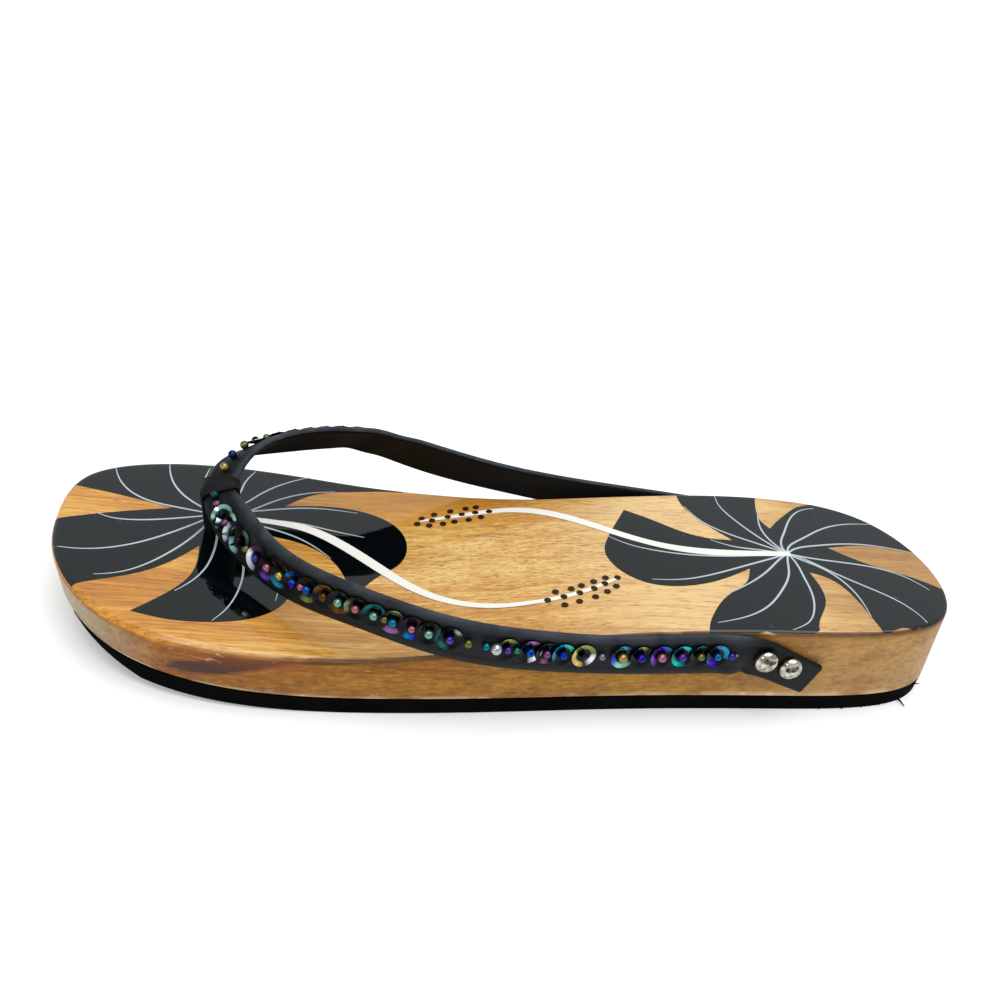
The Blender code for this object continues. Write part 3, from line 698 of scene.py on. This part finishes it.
def thicken(paint, thick):
    """Turns the faces of the paint up and gives it its thickness."""
    bmesh.ops.recalc_face_normals(paint, faces=paint.faces)
    for face in paint.faces:
        if face.normal.z < 0:
            face.normal_flip()
    bmesh.ops.solidify(paint, geom=paint.faces[:], thickness=thick * MM)


thicken(petals, COAT * PAINT_THICK)

# Gloss enamel: deep black, levelled by brushing, so it mirrors the room but shows the grain under it as a
# slight ripple along the foot, with a few dust nibs.
enamel, tree, sockets = start_material("black_gloss_enamel", {"Roughness": 0.04})
at = add_node(tree, "TexCoord", give="Object")
scale = (1 / (22 * MM), 1 / (1.7 * MM), 1 / (1.7 * MM))
along_grain = add_node(tree, "Mapping", {"Vector": at, "Scale": scale})
ripple = add_node(tree, "TexNoise", {"Vector": along_grain, "Scale": 1.0, "Detail": 3.0})
nibs = add_node(tree, "TexNoise", {"Vector": at, "Scale": 1 / (3.2 * MM), "Detail": 1.0})
nib_share = add_node(tree, "MapRange", {"Value": nibs, "From Min": 0.76, "From Max": 0.8, "To Max": 0.6})
inputs = {"Factor": nib_share, "A": linear(ENAMEL_BLACK), "B": linear(NIB_GREY)}
tree.links.new(add_node(tree, "Mix", inputs, data_type="RGBA"), sockets["Base Color"])
levelled = add_node(tree, "Bump", {"Height": ripple, "Strength": 0.2, "Distance": 0.06 * MM})
tree.links.new(levelled, sockets["Normal"])
add_piece("flower_petals", petals, [enamel], sharp=40)


def brush_stroke(mesh, points, widths, lift):
    """A flat stroke of paint on the footbed along the points, as wide as widths say."""
    along = np.gradient(points, axis=0)
    along /= np.linalg.norm(along, axis=1)[:, None]
    side = np.column_stack([-along[:, 1], along[:, 0]])

    def on_stroke(step, row):
        x, y = points[step] + side[step] * widths[step] * (row / 2 - 0.5)
        return on_bed(x, y, lift) / MM

    laid_grid(mesh, len(points) - 1, 2, on_stroke)


veins = bmesh.new()
for centre, lines in ((TOE_CENTRE, TOE_VEINS), (HEEL_CENTRE, HEEL_VEINS)):
    for number, vein in enumerate(lines):
        line = brush_line((centre, *vein), BRUSH_STEP)
        part = np.linspace(0, 1, len(line))
        widths = VEIN_WIDTH * (1.1 - 0.8 * part**3)
        brush_stroke(veins, line, widths, (VEIN_LIFT + VEIN_LIFT_STEP * number) * PAINT_THICK)
thicken(veins, COAT * PAINT_THICK)
stems = bmesh.new()
for stem in (TOE_STEM, HEEL_STEM):
    line = brush_line(stem, BRUSH_STEP)
    brush_stroke(stems, line[:, :2], line[:, 2], STEM_LIFT * PAINT_THICK)
thicken(stems, COAT * PAINT_THICK)

# Brush enamel for the stems: opaque warm white with a soft gloss.
values = {"Base Color": linear(BRUSH_WHITE), "Roughness": 0.3}
stem_white, _, _ = start_material("white_stem_enamel", values)
add_piece("flower_stems", stems, [stem_white], sharp=40)

# Thinned enamel for the veins: pale grey, since the black shows through a single stroke.
values = {"Base Color": linear(VEIN_WHITE), "Roughness": 0.3}
vein_white, _, _ = start_material("thin_vein_enamel", values)
add_piece("flower_veins", veins, [vein_white], sharp=40)

dots = bmesh.new()
for x, y in TOE_DOTS + HEEL_DOTS:
    half = 0.5 * DOT_WIDTH * MM
    disc = bmesh.ops.create_circle(dots, cap_ends=True, segments=DOT_SIDES, radius=half)
    for vert in disc["verts"]:
        vert.co = on_bed(x + vert.co.x / MM, y + vert.co.y / MM, DOT_LIFT * PAINT_THICK)
thicken(dots, DOT_COAT * PAINT_THICK)

# Brown dot enamel: set down with the brush's handle, so each dot is thick and glossy.
values = {"Roughness": 0.35, "Specular IOR Level": 0.2}
dot_enamel, tree, sockets = start_material("brown_dot_enamel", values)
at = add_node(tree, "TexCoord", give="Object")
depth = add_node(tree, "TexNoise", {"Vector": at, "Scale": 1 / (1.2 * MM), "Detail": 2.0})
shade = add_node(tree, "ValToRGB", {"Fac": depth}, stops=((0.35, DOT_DARK), (0.7, DOT_BROWN)))
tree.links.new(shade, sockets["Base Color"])
add_piece("flower_dots", dots, [dot_enamel], sharp=40)

# Strap
# The upper: one V-shaped band of coated leather, folded over a filler so that its edges are soft and round,
# with a smooth black lining. Each end is cut square, turned down and nailed flat to the wall of the sole.
STAND_OFF = 1.4
OUTER_RUN = ((-78.2, 13.1, 10.0), (-69.5, 16.9, 10.5), (-61.0, 20.3, 11.6), (-55.0, 21.0, 12.4),
             (-29.0, 20.6, 12.5), (-4.0, 22.1, 12.5), (21.0, 26.9, 12.5))
ARCH = ((45.4, 34.2, 29.8, 0.0, 12.5), (62.5, 20.9, 28.1, 11.0, 12.5), (75.5, 5.0, 30.1, 35.0, 11.8),
        (80.4, -6.9, 32.7, 74.0, 8.6), (76.6, -17.6, 36.3, 58.0, 11.2), (66.4, -25.5, 36.9, 38.0, 12.5),
        (44.8, -28.4, 38.8, 34.0, 12.5), (26.0, -30.6, 33.6, 22.0, 12.5), (3.0, -30.3, 28.7, 22.0, 12.5),
        (-26.5, -30.8, 24.2, 14.0, 12.5))
INNER_RUN = ((-55.0, 20.2, 12.4), (-61.0, 19.4, 11.6), (-69.5, 16.0, 10.5), (-78.2, 12.2, 10.0))
POINT_ROW = 10
CREST_ROW = 13
HALF_THICK = 1.1
EDGE_SOFT = 2.6
EDGE_CUT = 0.7
EDGE_TURNS = 8
STRAP_STEP = 1.0
TAB_FOLD = 21.5
TAB_BLEND = 4.0
# Wear by the tabs: a fold under its upper part, a swell past it and a trough that slants across
FOLD_TOP = 0.45
FOLD_DEPTH = 0.8
FOLD_WIDTH = 1.4
SWELL_RISE = 0.6
SWELL_AWAY = 4.0
SWELL_WIDTH = 2.2
TROUGH_DEPTH = 0.55
TROUGH_MIDDLE = 21.0
TROUGH_SPAN = 6.0
TROUGH_ACROSS = 0.52
TROUGH_SLANT = 0.04
TROUGH_WIDTH = 0.16
# Wear at the thong, pleats that reach further past it than before it, and on the crest, a slanting crease
PINCH_DEPTH = 0.2
PINCH_SPACING = 2.1
PINCH_BEFORE = 4.0
PINCH_PAST = 9.0
CREASE_DEPTH = 0.3
CREASE_SLANT = 4.0
RIDGE_WIDTH = 3.2
CREASE_AWAY = 7.0
CREASE_WIDTH = 3.4
# Section: depths of the lining in the middle and by the edge, and where it ends, then the crown
LINING_DEPTH = 1.0
LINING_EDGE_DEPTH = 1.05
LINING_EDGE = 1.7
LINING_TURN = -40
CROWN = 1.15
# The seam beside the turned edge: depth, and its steps as distance in and share of the depth
SEAM_SINK = 0.13
SEAM_STEPS = ((0.35, 0.5), (0.7, 1.0), (1.05, 0.4), (1.5, 0.0))
# The line that divides the outline into its outer and inner side
HEEL_MIDDLE = -3.1
NUDGE = 0.05
LEATHER_BLACK = "#0C0F12"
LEATHER_RUB_AND_SHEEN = "#3A3F46"
TAB_BLACK = "#06090C"
LINING_BLACK = "#070707"


def wall_y(x, sense):
    """How far out the sole's wall is at x, on the outer side (1) or the inner side (-1)."""
    side = outline[sense * outline[:, 1] > sense * HEEL_MIDDLE]
    side = side[np.argsort(side[:, 0])]
    return np.interp(x, side[:, 0], side[:, 1])


route = [(x, wall_y(x, 1) + STAND_OFF, z, 0.0, width) for x, z, width in OUTER_RUN]
route += ARCH
route += [(x, wall_y(x, -1) - STAND_OFF, z, 0.0, width) for x, z, width in INNER_RUN]
route = np.array(route)
route_knots = np.concatenate([[0.0], np.cumsum(np.linalg.norm(np.diff(route[:, :3], axis=0), axis=1))])
route_length = route_knots[-1]
point_at = route_knots[POINT_ROW]
crest_at = route_knots[CREST_ROW]


def strap_frame(places):
    """Point, along, across, outward and width of the strap at distances from the outer tab's end."""
    places = np.atleast_1d(np.asarray(places, float))
    found = smooth_curve(route_knots, route, places)
    ahead = smooth_curve(route_knots, route[:, :3], places + NUDGE)
    along = ahead - smooth_curve(route_knots, route[:, :3], places - NUDGE)
    along /= np.linalg.norm(along, axis=1)[:, None]
    up = np.array((0.0, 0.0, 1.0)) - along[:, 2:3] * along
    up /= np.linalg.norm(up, axis=1)[:, None]
    out = np.cross(up, along)
    lean = np.radians(found[:, 3:4])
    across = np.cos(lean) * up - np.sin(lean) * out
    outward = np.cos(lean) * out + np.sin(lean) * up
    return found[:, :3], along, across, outward, found[:, 4]


def on_tab(place):
    """How far a place on the strap belongs to the flat tab at its nearer end."""
    return float(np.clip((TAB_FOLD + 0.5 * TAB_BLEND - min(place, route_length - place)) / TAB_BLEND, 0, 1))


def strap_section(place, width):
    """The strap's section, round from the middle of its lining: across, outward, whether it is lining."""
    half = 0.5 * width
    soft = EDGE_SOFT + (EDGE_CUT - EDGE_SOFT) * on_tab(place)
    seam = SEAM_SINK * (1 - on_tab(place))
    lower = [(0.0, -LINING_DEPTH, 1), (-0.5 * half, -LINING_DEPTH, 1)]
    lower.append((LINING_EDGE - half, -LINING_EDGE_DEPTH, 1))
    for turn in np.linspace(-90, 90, EDGE_TURNS + 1):
        bend = math.radians(turn)
        reach = HALF_THICK if turn < 0 else soft
        across = reach - half - reach * math.cos(bend)
        lower.append((across, HALF_THICK * math.sin(bend), int(turn < LINING_TURN)))
    for inset, share in SEAM_STEPS:
        lower.append((soft + inset - half, HALF_THICK - share * seam, 0))
    upper = [(-across, outward, lined) for across, outward, lined in lower[1:]]
    return lower + [(0.0, CROWN, 0)] + upper[::-1]


def strap_wear(place, across, width):
    """How far the leather is pushed out or in by folds at the tabs, the pinch at the thong and creases."""
    share_up = across / (0.5 * width)
    move = 0.0
    for end in (place, route_length - place):
        low_side = float(np.clip(FOLD_TOP - share_up, 0, FOLD_TOP + 1)) / (FOLD_TOP + 1)
        move -= FOLD_DEPTH * low_side * math.exp(-(((end - TAB_FOLD) / FOLD_WIDTH) ** 2))
        move += SWELL_RISE * low_side * math.exp(-(((end - TAB_FOLD - SWELL_AWAY) / SWELL_WIDTH) ** 2))
        trough = TROUGH_ACROSS - TROUGH_SLANT * (end - TROUGH_MIDDLE)
        span = math.exp(-(((end - TROUGH_MIDDLE) / TROUGH_SPAN) ** 4))
        move -= TROUGH_DEPTH * span * math.exp(-(((share_up - trough) / TROUGH_WIDTH) ** 2))
    reach = PINCH_PAST if place > point_at else PINCH_BEFORE
    near = math.exp(-(((place - point_at) / reach) ** 2))
    move -= PINCH_DEPTH * near * (0.5 + 0.5 * math.cos(2 * math.pi * across / PINCH_SPACING))
    slant = place - crest_at - CREASE_SLANT * share_up
    ridge = math.exp(-((slant / RIDGE_WIDTH) ** 2))
    hollow = math.exp(-(((slant - CREASE_AWAY) / CREASE_WIDTH) ** 2))
    return move + (CREASE_DEPTH * ridge - CREASE_DEPTH * hollow)


strap = bmesh.new()
across_share = strap.verts.layers.float.new("across")
tab_share = strap.verts.layers.float.new("tab")
steps = round(route_length / STRAP_STEP)
places = np.linspace(0, route_length, steps + 1)
points, _, acrosses, outwards, widths = strap_frame(places)
sections = [strap_section(place, width) for place, width in zip(places, widths)]
rows = len(sections[0])
grid_rows = {}


def on_strap(step, row):
    """Where a point of the strap's grid lies, with its wear."""
    across, outward, _ = sections[step][row % rows]
    move = strap_wear(places[step], across, widths[step])
    return points[step] + across * acrosses[step] + (outward + move) * outwards[step]


def mark_strap(vert, step, row):
    """Notes the row of a point, and how far it is across the strap and on a tab."""
    grid_rows[vert] = row % rows
    vert[across_share] = 2 * sections[step][row % rows][0] / widths[step]
    vert[tab_share] = on_tab(places[step])


laid_grid(strap, steps, rows, on_strap, mark_strap)
lining_rows = {row for row in range(rows) if sections[0][row][2]}
for face in strap.faces:
    if all(grid_rows[vert] in lining_rows for vert in face.verts):
        face.material_index = 1
bmesh.ops.remove_doubles(strap, verts=strap.verts, dist=MERGE)
bmesh.ops.holes_fill(strap, edges=strap.edges, sides=rows)
bmesh.ops.recalc_face_normals(strap, faces=strap.faces)

# Coated leather: charcoal black with a soft gloss and a fine pressed grain about 0.5 mm across. The upper
# turned edge is paler, partly rubbed and partly a painted highlight where the light from above falls, and
# the tabs are blacker.
coated, tree, sockets = start_material("coated_leather", {"Specular IOR Level": 0.16})
at = add_node(tree, "TexCoord", give="Object")
across = add_node(tree, "Attribute", give="Fac", attribute_name="across")
tab = add_node(tree, "Attribute", give="Fac", attribute_name="tab")
pebble = add_node(tree, "TexVoronoi", {"Vector": at, "Scale": 1 / (0.6 * MM)})
cloud = add_node(tree, "TexNoise", {"Vector": at, "Scale": 1 / (6 * MM), "Detail": 5.0})
# The paler upper edge: rubbing and a painted highlight, patchy along the strap.
rub_and_sheen = add_node(tree, "MapRange", {"Value": cloud, "From Min": 0.2, "From Max": 0.7})
rub_and_sheen = add_node(tree, "MapRange", {"Value": across, "From Min": 0.62, "From Max": 0.95, "To Max": rub_and_sheen})
inputs = {"Factor": rub_and_sheen, "A": linear(LEATHER_BLACK), "B": linear(LEATHER_RUB_AND_SHEEN)}
colour = add_node(tree, "Mix", inputs, data_type="RGBA")
colour = add_node(tree, "Mix", {"Factor": tab, "A": colour, "B": linear(TAB_BLACK)}, data_type="RGBA")
tree.links.new(colour, sockets["Base Color"])
gloss = add_node(tree, "MapRange", {"Value": cloud, "To Min": 0.4, "To Max": 0.6})
tree.links.new(gloss, sockets["Roughness"])
pressed = add_node(tree, "Bump", {"Height": pebble, "Strength": 0.25, "Distance": 0.1 * MM})
tree.links.new(pressed, sockets["Normal"])

# Lining leather: thin, smooth and dull black.
values = {"Base Color": linear(LINING_BLACK), "Roughness": 0.7, "Specular IOR Level": 0.15}
lining, _, _ = start_material("black_lining_leather", values)
add_piece("leather_strap", strap, [coated, lining], ["strap"], sharp=60)

# Toe thong
# A narrow loop of thin black leather drawn tight round the point of the strap. Its two legs are pressed
# together and go down between the toes into a slot in the wood.
THONG_BLACK = "#050506"
THONG_SHEEN = "#090A0B"


def merged_copy(node):
    """The CAD node's own shape, as one closed mesh."""
    mesh = bmesh.new()
    mesh.from_mesh(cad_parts[node].data)
    bmesh.ops.remove_doubles(mesh, verts=mesh.verts, dist=MERGE)
    return mesh


# Thin coated leather: blacker and smoother than the strap, with creases about 1.5 mm apart where it is
# drawn.
values = {"Roughness": 0.6, "Specular IOR Level": 0.18}
drawn, tree, sockets = start_material("drawn_thong_leather", values)
at = add_node(tree, "TexCoord", give="Object")
creases = add_node(tree, "TexNoise", {"Vector": at, "Scale": 1 / (2.2 * MM), "Detail": 3.0})
shade = add_node(tree, "ValToRGB", {"Fac": creases}, stops=((0.35, THONG_BLACK), (0.65, THONG_SHEEN)))
tree.links.new(shade, sockets["Base Color"])
drawn_in = add_node(tree, "Bump", {"Height": creases, "Strength": 0.35, "Distance": 0.4 * MM})
tree.links.new(drawn_in, sockets["Normal"])
add_piece("thong_loop", merged_copy("toe_thong"), [drawn], ["toe_thong"], sharp=45)

# Nails
# Four upholstery nails with hammered, nickel-plated dome heads, two through each end of the strap into the
# wood.
NAIL_HALF = 3.25
NAIL_RISE = 2.5
NAIL_RIM = 0.4
NAIL_LIFT = 1.4
SHANK_HALF = 0.8
SHANK_END = -8.4
NAIL_TIP = -10.0
DOME_STEPS = 12
NAIL_SIDES = 36
# Along the strap from its end, across it from its middle, and how far each head turned as it was driven
NAIL_PLACES = (("back", 9.2, 1.4, 0.7), ("front", 16.9, 0.5, 0.0))
# Height on the head above which it was hammered, and the depth that is fully tarnished
HAMMERED_FROM = 0.5
FULL_DENT = 0.4
# Hammer marks on a head: x, y, radius, depth
DENTS = ((1.2, -1.2, 0.7, 0.42), (-0.2, -1.0, 0.8, 0.36), (-1.2, -1.4, 0.6, 0.3), (0.5, 1.0, 0.7, 0.2),
         (-1.4, 1.1, 0.6, 0.2), (1.9, 1.1, 0.6, 0.16), (0.1, -2.0, 0.7, 0.14), (-0.4, 2.2, 0.6, 0.14))
NICKEL = "#CFCABD"
NICKEL_DULL = "#8A8375"
TARNISH = "#1E1A14"


def turned_shell(mesh, profile, sides):
    """Turns a profile of radius and height round the z axis and gives the new faces."""
    before = set(mesh.faces)
    corners = [mesh.verts.new(Vector((radius, 0.0, height)) * MM) for radius, height in profile]
    edges = [mesh.edges.new(pair) for pair in zip(corners, corners[1:])]
    bmesh.ops.spin(
        mesh,
        geom=corners + edges,
        cent=(0, 0, 0),
        axis=(0, 0, 1),
        angle=2 * math.pi,
        steps=sides,
        use_merge=True,
    )
    return [face for face in mesh.faces if face not in before]


# Nickel plate: bright and faintly warm, with brown tarnish in the hollows of the hammer marks.
nickel, tree, sockets = start_material("hammered_nickel_plate", {"Roughness": 0.12, "Metallic": 1.0})
at = add_node(tree, "TexCoord", give="Object")
hollow = add_node(tree, "Attribute", give="Fac", attribute_name="hollow")
cloud = add_node(tree, "TexNoise", {"Vector": at, "Scale": 1 / (1.4 * MM), "Detail": 3.0})
dulled = add_node(tree, "MapRange", {"Value": cloud, "From Min": 0.25, "From Max": 0.45, "To Max": 0.95})
dulled = add_node(tree, "MapRange", {"Value": hollow, "From Min": 0.15, "From Max": 0.6, "To Max": dulled})
bright = add_node(tree, "ValToRGB", {"Fac": cloud}, stops=((0.35, NICKEL_DULL), (0.6, NICKEL)))
inputs = {"Factor": dulled, "A": bright, "B": linear(TARNISH)}
tree.links.new(add_node(tree, "Mix", inputs, data_type="RGBA"), sockets["Base Color"])

for side, start, sense in (("outer", 0.0, 1), ("inner", route_length, -1)):
    for name, distance, offset, spin in NAIL_PLACES:
        nail = bmesh.new()
        hollow = nail.verts.layers.float.new("hollow")
        profile = [(0.0, NAIL_RISE)]
        for step in range(1, DOME_STEPS + 1):
            turn = 0.5 * math.pi * step / DOME_STEPS
            rise = NAIL_RIM + (NAIL_RISE - NAIL_RIM) * math.cos(turn)
            profile.append((NAIL_HALF * math.sin(turn), rise))
        profile += [(NAIL_HALF, 0.0), (SHANK_HALF, 0.0), (SHANK_HALF, SHANK_END), (0.0, NAIL_TIP)]
        turned_shell(nail, profile, NAIL_SIDES)
        bmesh.ops.remove_doubles(nail, verts=nail.verts, dist=MERGE)
        bmesh.ops.recalc_face_normals(nail, faces=nail.faces)
        for vert in nail.verts:
            if vert.co.z < HAMMERED_FROM * MM:
                continue
            for x, y, radius, depth in DENTS:
                away = math.hypot(vert.co.x / MM - x, vert.co.y / MM - y) / radius
                vert.co.z -= depth * math.exp(-(away**2)) * MM
                vert[hollow] = max(vert[hollow], depth / FULL_DENT * math.exp(-(away**2)))
        point, along, across, outward, _ = (part[0] for part in strap_frame(start + sense * distance))
        turn = Matrix((along, np.cross(outward, along), outward)).transposed().to_4x4()
        seat = point + offset * across + NAIL_LIFT * outward
        place = Matrix.Translation(Vector(seat) * MM) @ turn @ Matrix.Rotation(spin, 4, "Z")
        bmesh.ops.transform(nail, matrix=place, verts=nail.verts)
        node = f"nail_{side}_{name}"
        add_piece(f"head_{node}", nail, [nickel], [node], sharp=50)

# Sequins and beads
# Cup sequins of dark iridescent film, sewn in one row along each branch so that each lies on the next, with
# a round glass bead over each hole. Between them and beside the thong there are beads alone.
SEQUIN_HALF = 3.15
SEQUIN_SIDES = 24
SEQUIN_TILT = 6.0
SEQUIN_UP = 5.0
BEAD_SHADE = 0.5
CUP_LIFT = 1.35
CUP_BEAD_LIFT = 2.1
# A cup's radii and heights, up to its rim's height
CUP_PROFILE = ((0.45, 0.0), (1.1, 0.05), (1.8, 0.24), (2.3, 0.4))
CUP_RIM = 0.7
FILM_THICK = 0.12
# Where on the cup's radius the lit arcs, which are painted highlights, start, how softly they end, and how
# dark the painted shade makes the cup elsewhere
ARC_FROM = 2.0
ARC_SOFT = 0.6
NIGHT_LEAST = 0.3
NIGHT_POWER = 1.5
CUP_VARY = 0.04
# The row's middle off the strap's middle: at its ends, and where along the outer branch it shifts
OUTER_SHIFT = (1.0, -1.0)
SHIFT_FROM = 125.0
SHIFT_SPAN = 40.0
INNER_SHIFT = 0.6
BEAD_BASE = 1.0
BEAD_SEAT = 0.9
BEAD_SIDES = 12
BEAD_RINGS = 8
INNER_BEAD_HALF = 1.2
INNER_BEAD_ROOM = 2.0
FILM = {"night": "#16191C", "deep": "#1F5F60", "teal": "#17B8A6", "sea": "#3C93B4", "blue": "#2E5CC4",
        "violet": "#6C52BC", "mauve": "#94628F", "rose": "#CC8496", "gold": "#CDBF74", "olive": "#85894A",
        "green": "#3E9A74", "mint": "#93C6B0", "silver": "#90949C", "pearl": "#E8E8EF", "bronze": "#6A4A22",
        "sky": "#9DBFCB", "navy": "#2A3A7C"}
# The row from the strap's end to the thong: distance, film and half width of the bead, then the lit arcs of
# the cup under it, painted highlights each with its film, hour on the clock and hours to each side. Beads
# alone have none.
TRIM_ROW = (
    (25.5, "silver", 0.5), (27.0, "violet", 1.0), (31.0, "blue", 1.1, ("sea", 1.5, 2.5), ("blue", 7, 1.5)),
    (35.5, "olive", 1.1, ("deep", 12, 1.5)),
    (40.5, "violet", 1.2, ("teal", 0.8, 1.6), ("deep", 9.8, 2.5), ("teal", 7, 1.8)),
    (46.0, "rose", 1.3, ("blue", 11.8, 2.0), ("violet", 9, 2.0)), (51.5, "blue", 1.2, ("olive", 12, 1.0)),
    (56.5, "gold", 1.3, ("mint", 6.3, 2.0), ("sea", 12, 1.0), ("blue", 8.5, 1.2)), (62.0, "silver", 1.0),
    (67.0, "night", 0.8, ("olive", 0.5, 3), ("gold", 9.5, 2), ("pearl", 3.8, 1.3), ("gold", 7, 1.5)),
    (72.5, "blue", 1.1, ("teal", 0.8, 1.6), ("sea", 10, 2.5)), (77.0, "mauve", 1.1, ("mauve", 6, 0.8)),
    (81.5, "blue", 1.2, ("pearl", 4.4, 1.6), ("mauve", 12, 1.5)), (85.0, "green", 0.9),
    # The large pearl bead at 90.5 is a painted glint, where a sequin's edge catches the light.
    (87.5, "violet", 1.0, ("olive", 11.5, 2)), (90.5, "pearl", 1.5), (93.0, "sea", 1.0),
    (97.5, "olive", 1.15), (102.0, "violet", 1.1, ("deep", 7, 1.5), ("silver", 1, 0.8)),
    (107.0, "mint", 1.2, ("deep", 3, 1.5)), (111.0, "rose", 1.0, ("blue", 6, 1.2)),
    (115.5, "sea", 1.15, ("mauve", 6, 1.5), ("olive", 12, 1)), (117.5, "olive", 1.0),
    (120.0, "mint", 1.15, ("deep", 12, 3.5)), (124.5, "rose", 1.1, ("olive", 9, 1.2)),
    (127.0, "silver", 0.8), (129.0, "mint", 1.2, ("bronze", 6, 2)),
    (133.0, "bronze", 1.2, ("bronze", 12, 3)), (138.0, "blue", 1.2, ("olive", 6, 1.2)),
    (140.0, "rose", 1.0), (142.5, "blue", 1.2, ("blue", 11, 1.5)),
    (147.0, "gold", 1.2, ("sea", 6.5, 1.8)), (151.5, "rose", 1.2, ("violet", 6, 1.5)),
    (156.0, "violet", 1.0, ("pearl", 8, 2.5), ("mauve", 11, 1.5)), (160.0, "olive", 1.1),
    (163.5, "night", 1.1, ("sky", 7, 2.0), ("mint", 1, 1.5)), (166.5, "night", 1.0, ("pearl", 8, 2)),
    (170.0, "mauve", 1.0, ("mint", 2, 3), ("sky", 8, 1.5)), (172.5, "night", 1.1, ("mint", 10, 3.5)),
    (176.0, "mauve", 1.1), (179.0, "deep", 1.1),
)
# Beads alone beside the thong on the inner branch: distance from the thong, film
INNER_BEADS = ((14.5, "olive"), (10.0, "navy"), (5.5, "gold"))

trims = {}
for side, start, sense in (("outer", 0.0, 1), ("inner", route_length, -1)):
    trim = bmesh.new()
    film = trim.verts.layers.float_color.new("film")
    branch = abs(point_at - start)
    row = [(place * branch / point_at, *rest) for place, *rest in TRIM_ROW]
    if side == "inner":
        row = [entry for entry in row if branch - entry[0] > INNER_BEADS[0][0] + INNER_BEAD_ROOM]
        row += [(branch - away, bead_film, INNER_BEAD_HALF) for away, bead_film in INNER_BEADS]
    for place, bead_film, bead_half, *arcs in row:
        point, along, across, outward, _ = (part[0] for part in strap_frame(start + sense * place))
        shift = INNER_SHIFT
        if side == "outer":
            shift = float(np.interp(place, (SHIFT_FROM, SHIFT_FROM + SHIFT_SPAN), OUTER_SHIFT))
        middle = point + shift * across
        turn = Matrix((along, np.cross(outward, along), outward)).transposed().to_4x4()
        lift = BEAD_BASE + BEAD_SEAT * bead_half
        if arcs:
            lift = CUP_BEAD_LIFT
            tilt = Matrix.Rotation(math.radians(SEQUIN_UP), 4, "X")
            tilt = tilt @ Matrix.Rotation(math.radians(-sense * SEQUIN_TILT), 4, "Y")
            size = SEQUIN_HALF * (1.0 + CUP_VARY * math.sin(1.7 * place))
            faces = turned_shell(trim, (*CUP_PROFILE, (size, CUP_RIM)), SEQUIN_SIDES)
            for face in faces:
                face.normal_update()
                if face.normal.z < 0:
                    face.normal_flip()
            # Painted light on each cup: the film's colours only in the lit arcs at set hours, as painted
            # highlights, and the rest darkened away from the first arc as painted shade.
            for vert in {vert for face in faces for vert in face.verts}:
                clock = math.atan2(-vert.co.x, -vert.co.y) * 6 / math.pi
                facing = abs(math.cos(math.pi * (clock - arcs[0][1]) / 6)) ** NIGHT_POWER
                shown = (NIGHT_LEAST + (1 - NIGHT_LEAST) * facing) * np.array(linear(FILM["night"]))
                for arc_film, hour, hours in arcs:
                    off = abs((clock - hour + 6) % 12 - 6)
                    lit = 0.0
                    if vert.co.xy.length > ARC_FROM * MM:
                        lit = max(0.0, 1 - off / hours) ** ARC_SOFT
                    shown += lit * (np.array(linear(FILM[arc_film])) - shown)
                vert[film] = shown
            walls = bmesh.ops.solidify(trim, geom=faces, thickness=FILM_THICK * MM)["geom"]
            whole = {vert for face in faces for vert in face.verts}
            whole |= {vert for part in walls if isinstance(part, bmesh.types.BMFace) for vert in part.verts}
            seat = Matrix.Translation(Vector(middle + CUP_LIFT * outward) * MM) @ turn @ tilt
            bmesh.ops.transform(trim, matrix=seat, verts=list(whole))
        ball = bmesh.ops.create_uvsphere(
            trim,
            u_segments=BEAD_SIDES,
            v_segments=BEAD_RINGS,
            radius=bead_half * MM,
        )
        bead = ball["verts"]
        for vert in bead:
            vert[film] = BEAD_SHADE * np.array(linear(FILM[bead_film]))
        seat = Matrix.Translation(Vector(middle + lift * outward) * MM) @ turn
        bmesh.ops.transform(trim, matrix=seat, verts=bead)
    trims[side] = trim

# Iridescent film: dark and mirror-like, its oil-slick colour painted on as highlights in set arcs of each
# cup, with painted shade between them, and shifting a little over 2 mm.
peacock, tree, sockets = start_material("iridescent_film", {"Metallic": 0.85, "Roughness": 0.16})
at = add_node(tree, "TexCoord", give="Object")
film_colour = add_node(tree, "Attribute", give="Color", attribute_name="film")
slick = add_node(tree, "TexNoise", {"Vector": at, "Scale": 1 / (2.4 * MM), "Detail": 2.0})
inputs = {"Value": slick, "From Min": 0.3, "From Max": 0.7, "To Min": 0.45, "To Max": 0.55}
shift = add_node(tree, "MapRange", inputs)
oily = add_node(tree, "HueSaturation", {"Hue": shift, "Saturation": 1.1, "Color": film_colour})
tree.links.new(oily, sockets["Base Color"])
for side, trim in trims.items():
    add_piece(f"sequins_{side}", trim, [peacock], [f"sequin_trim_{side}"], sharp=25)

size = {"cad": [list(corner) for corner in cad_box], "visual": [list(corner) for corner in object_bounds()]}
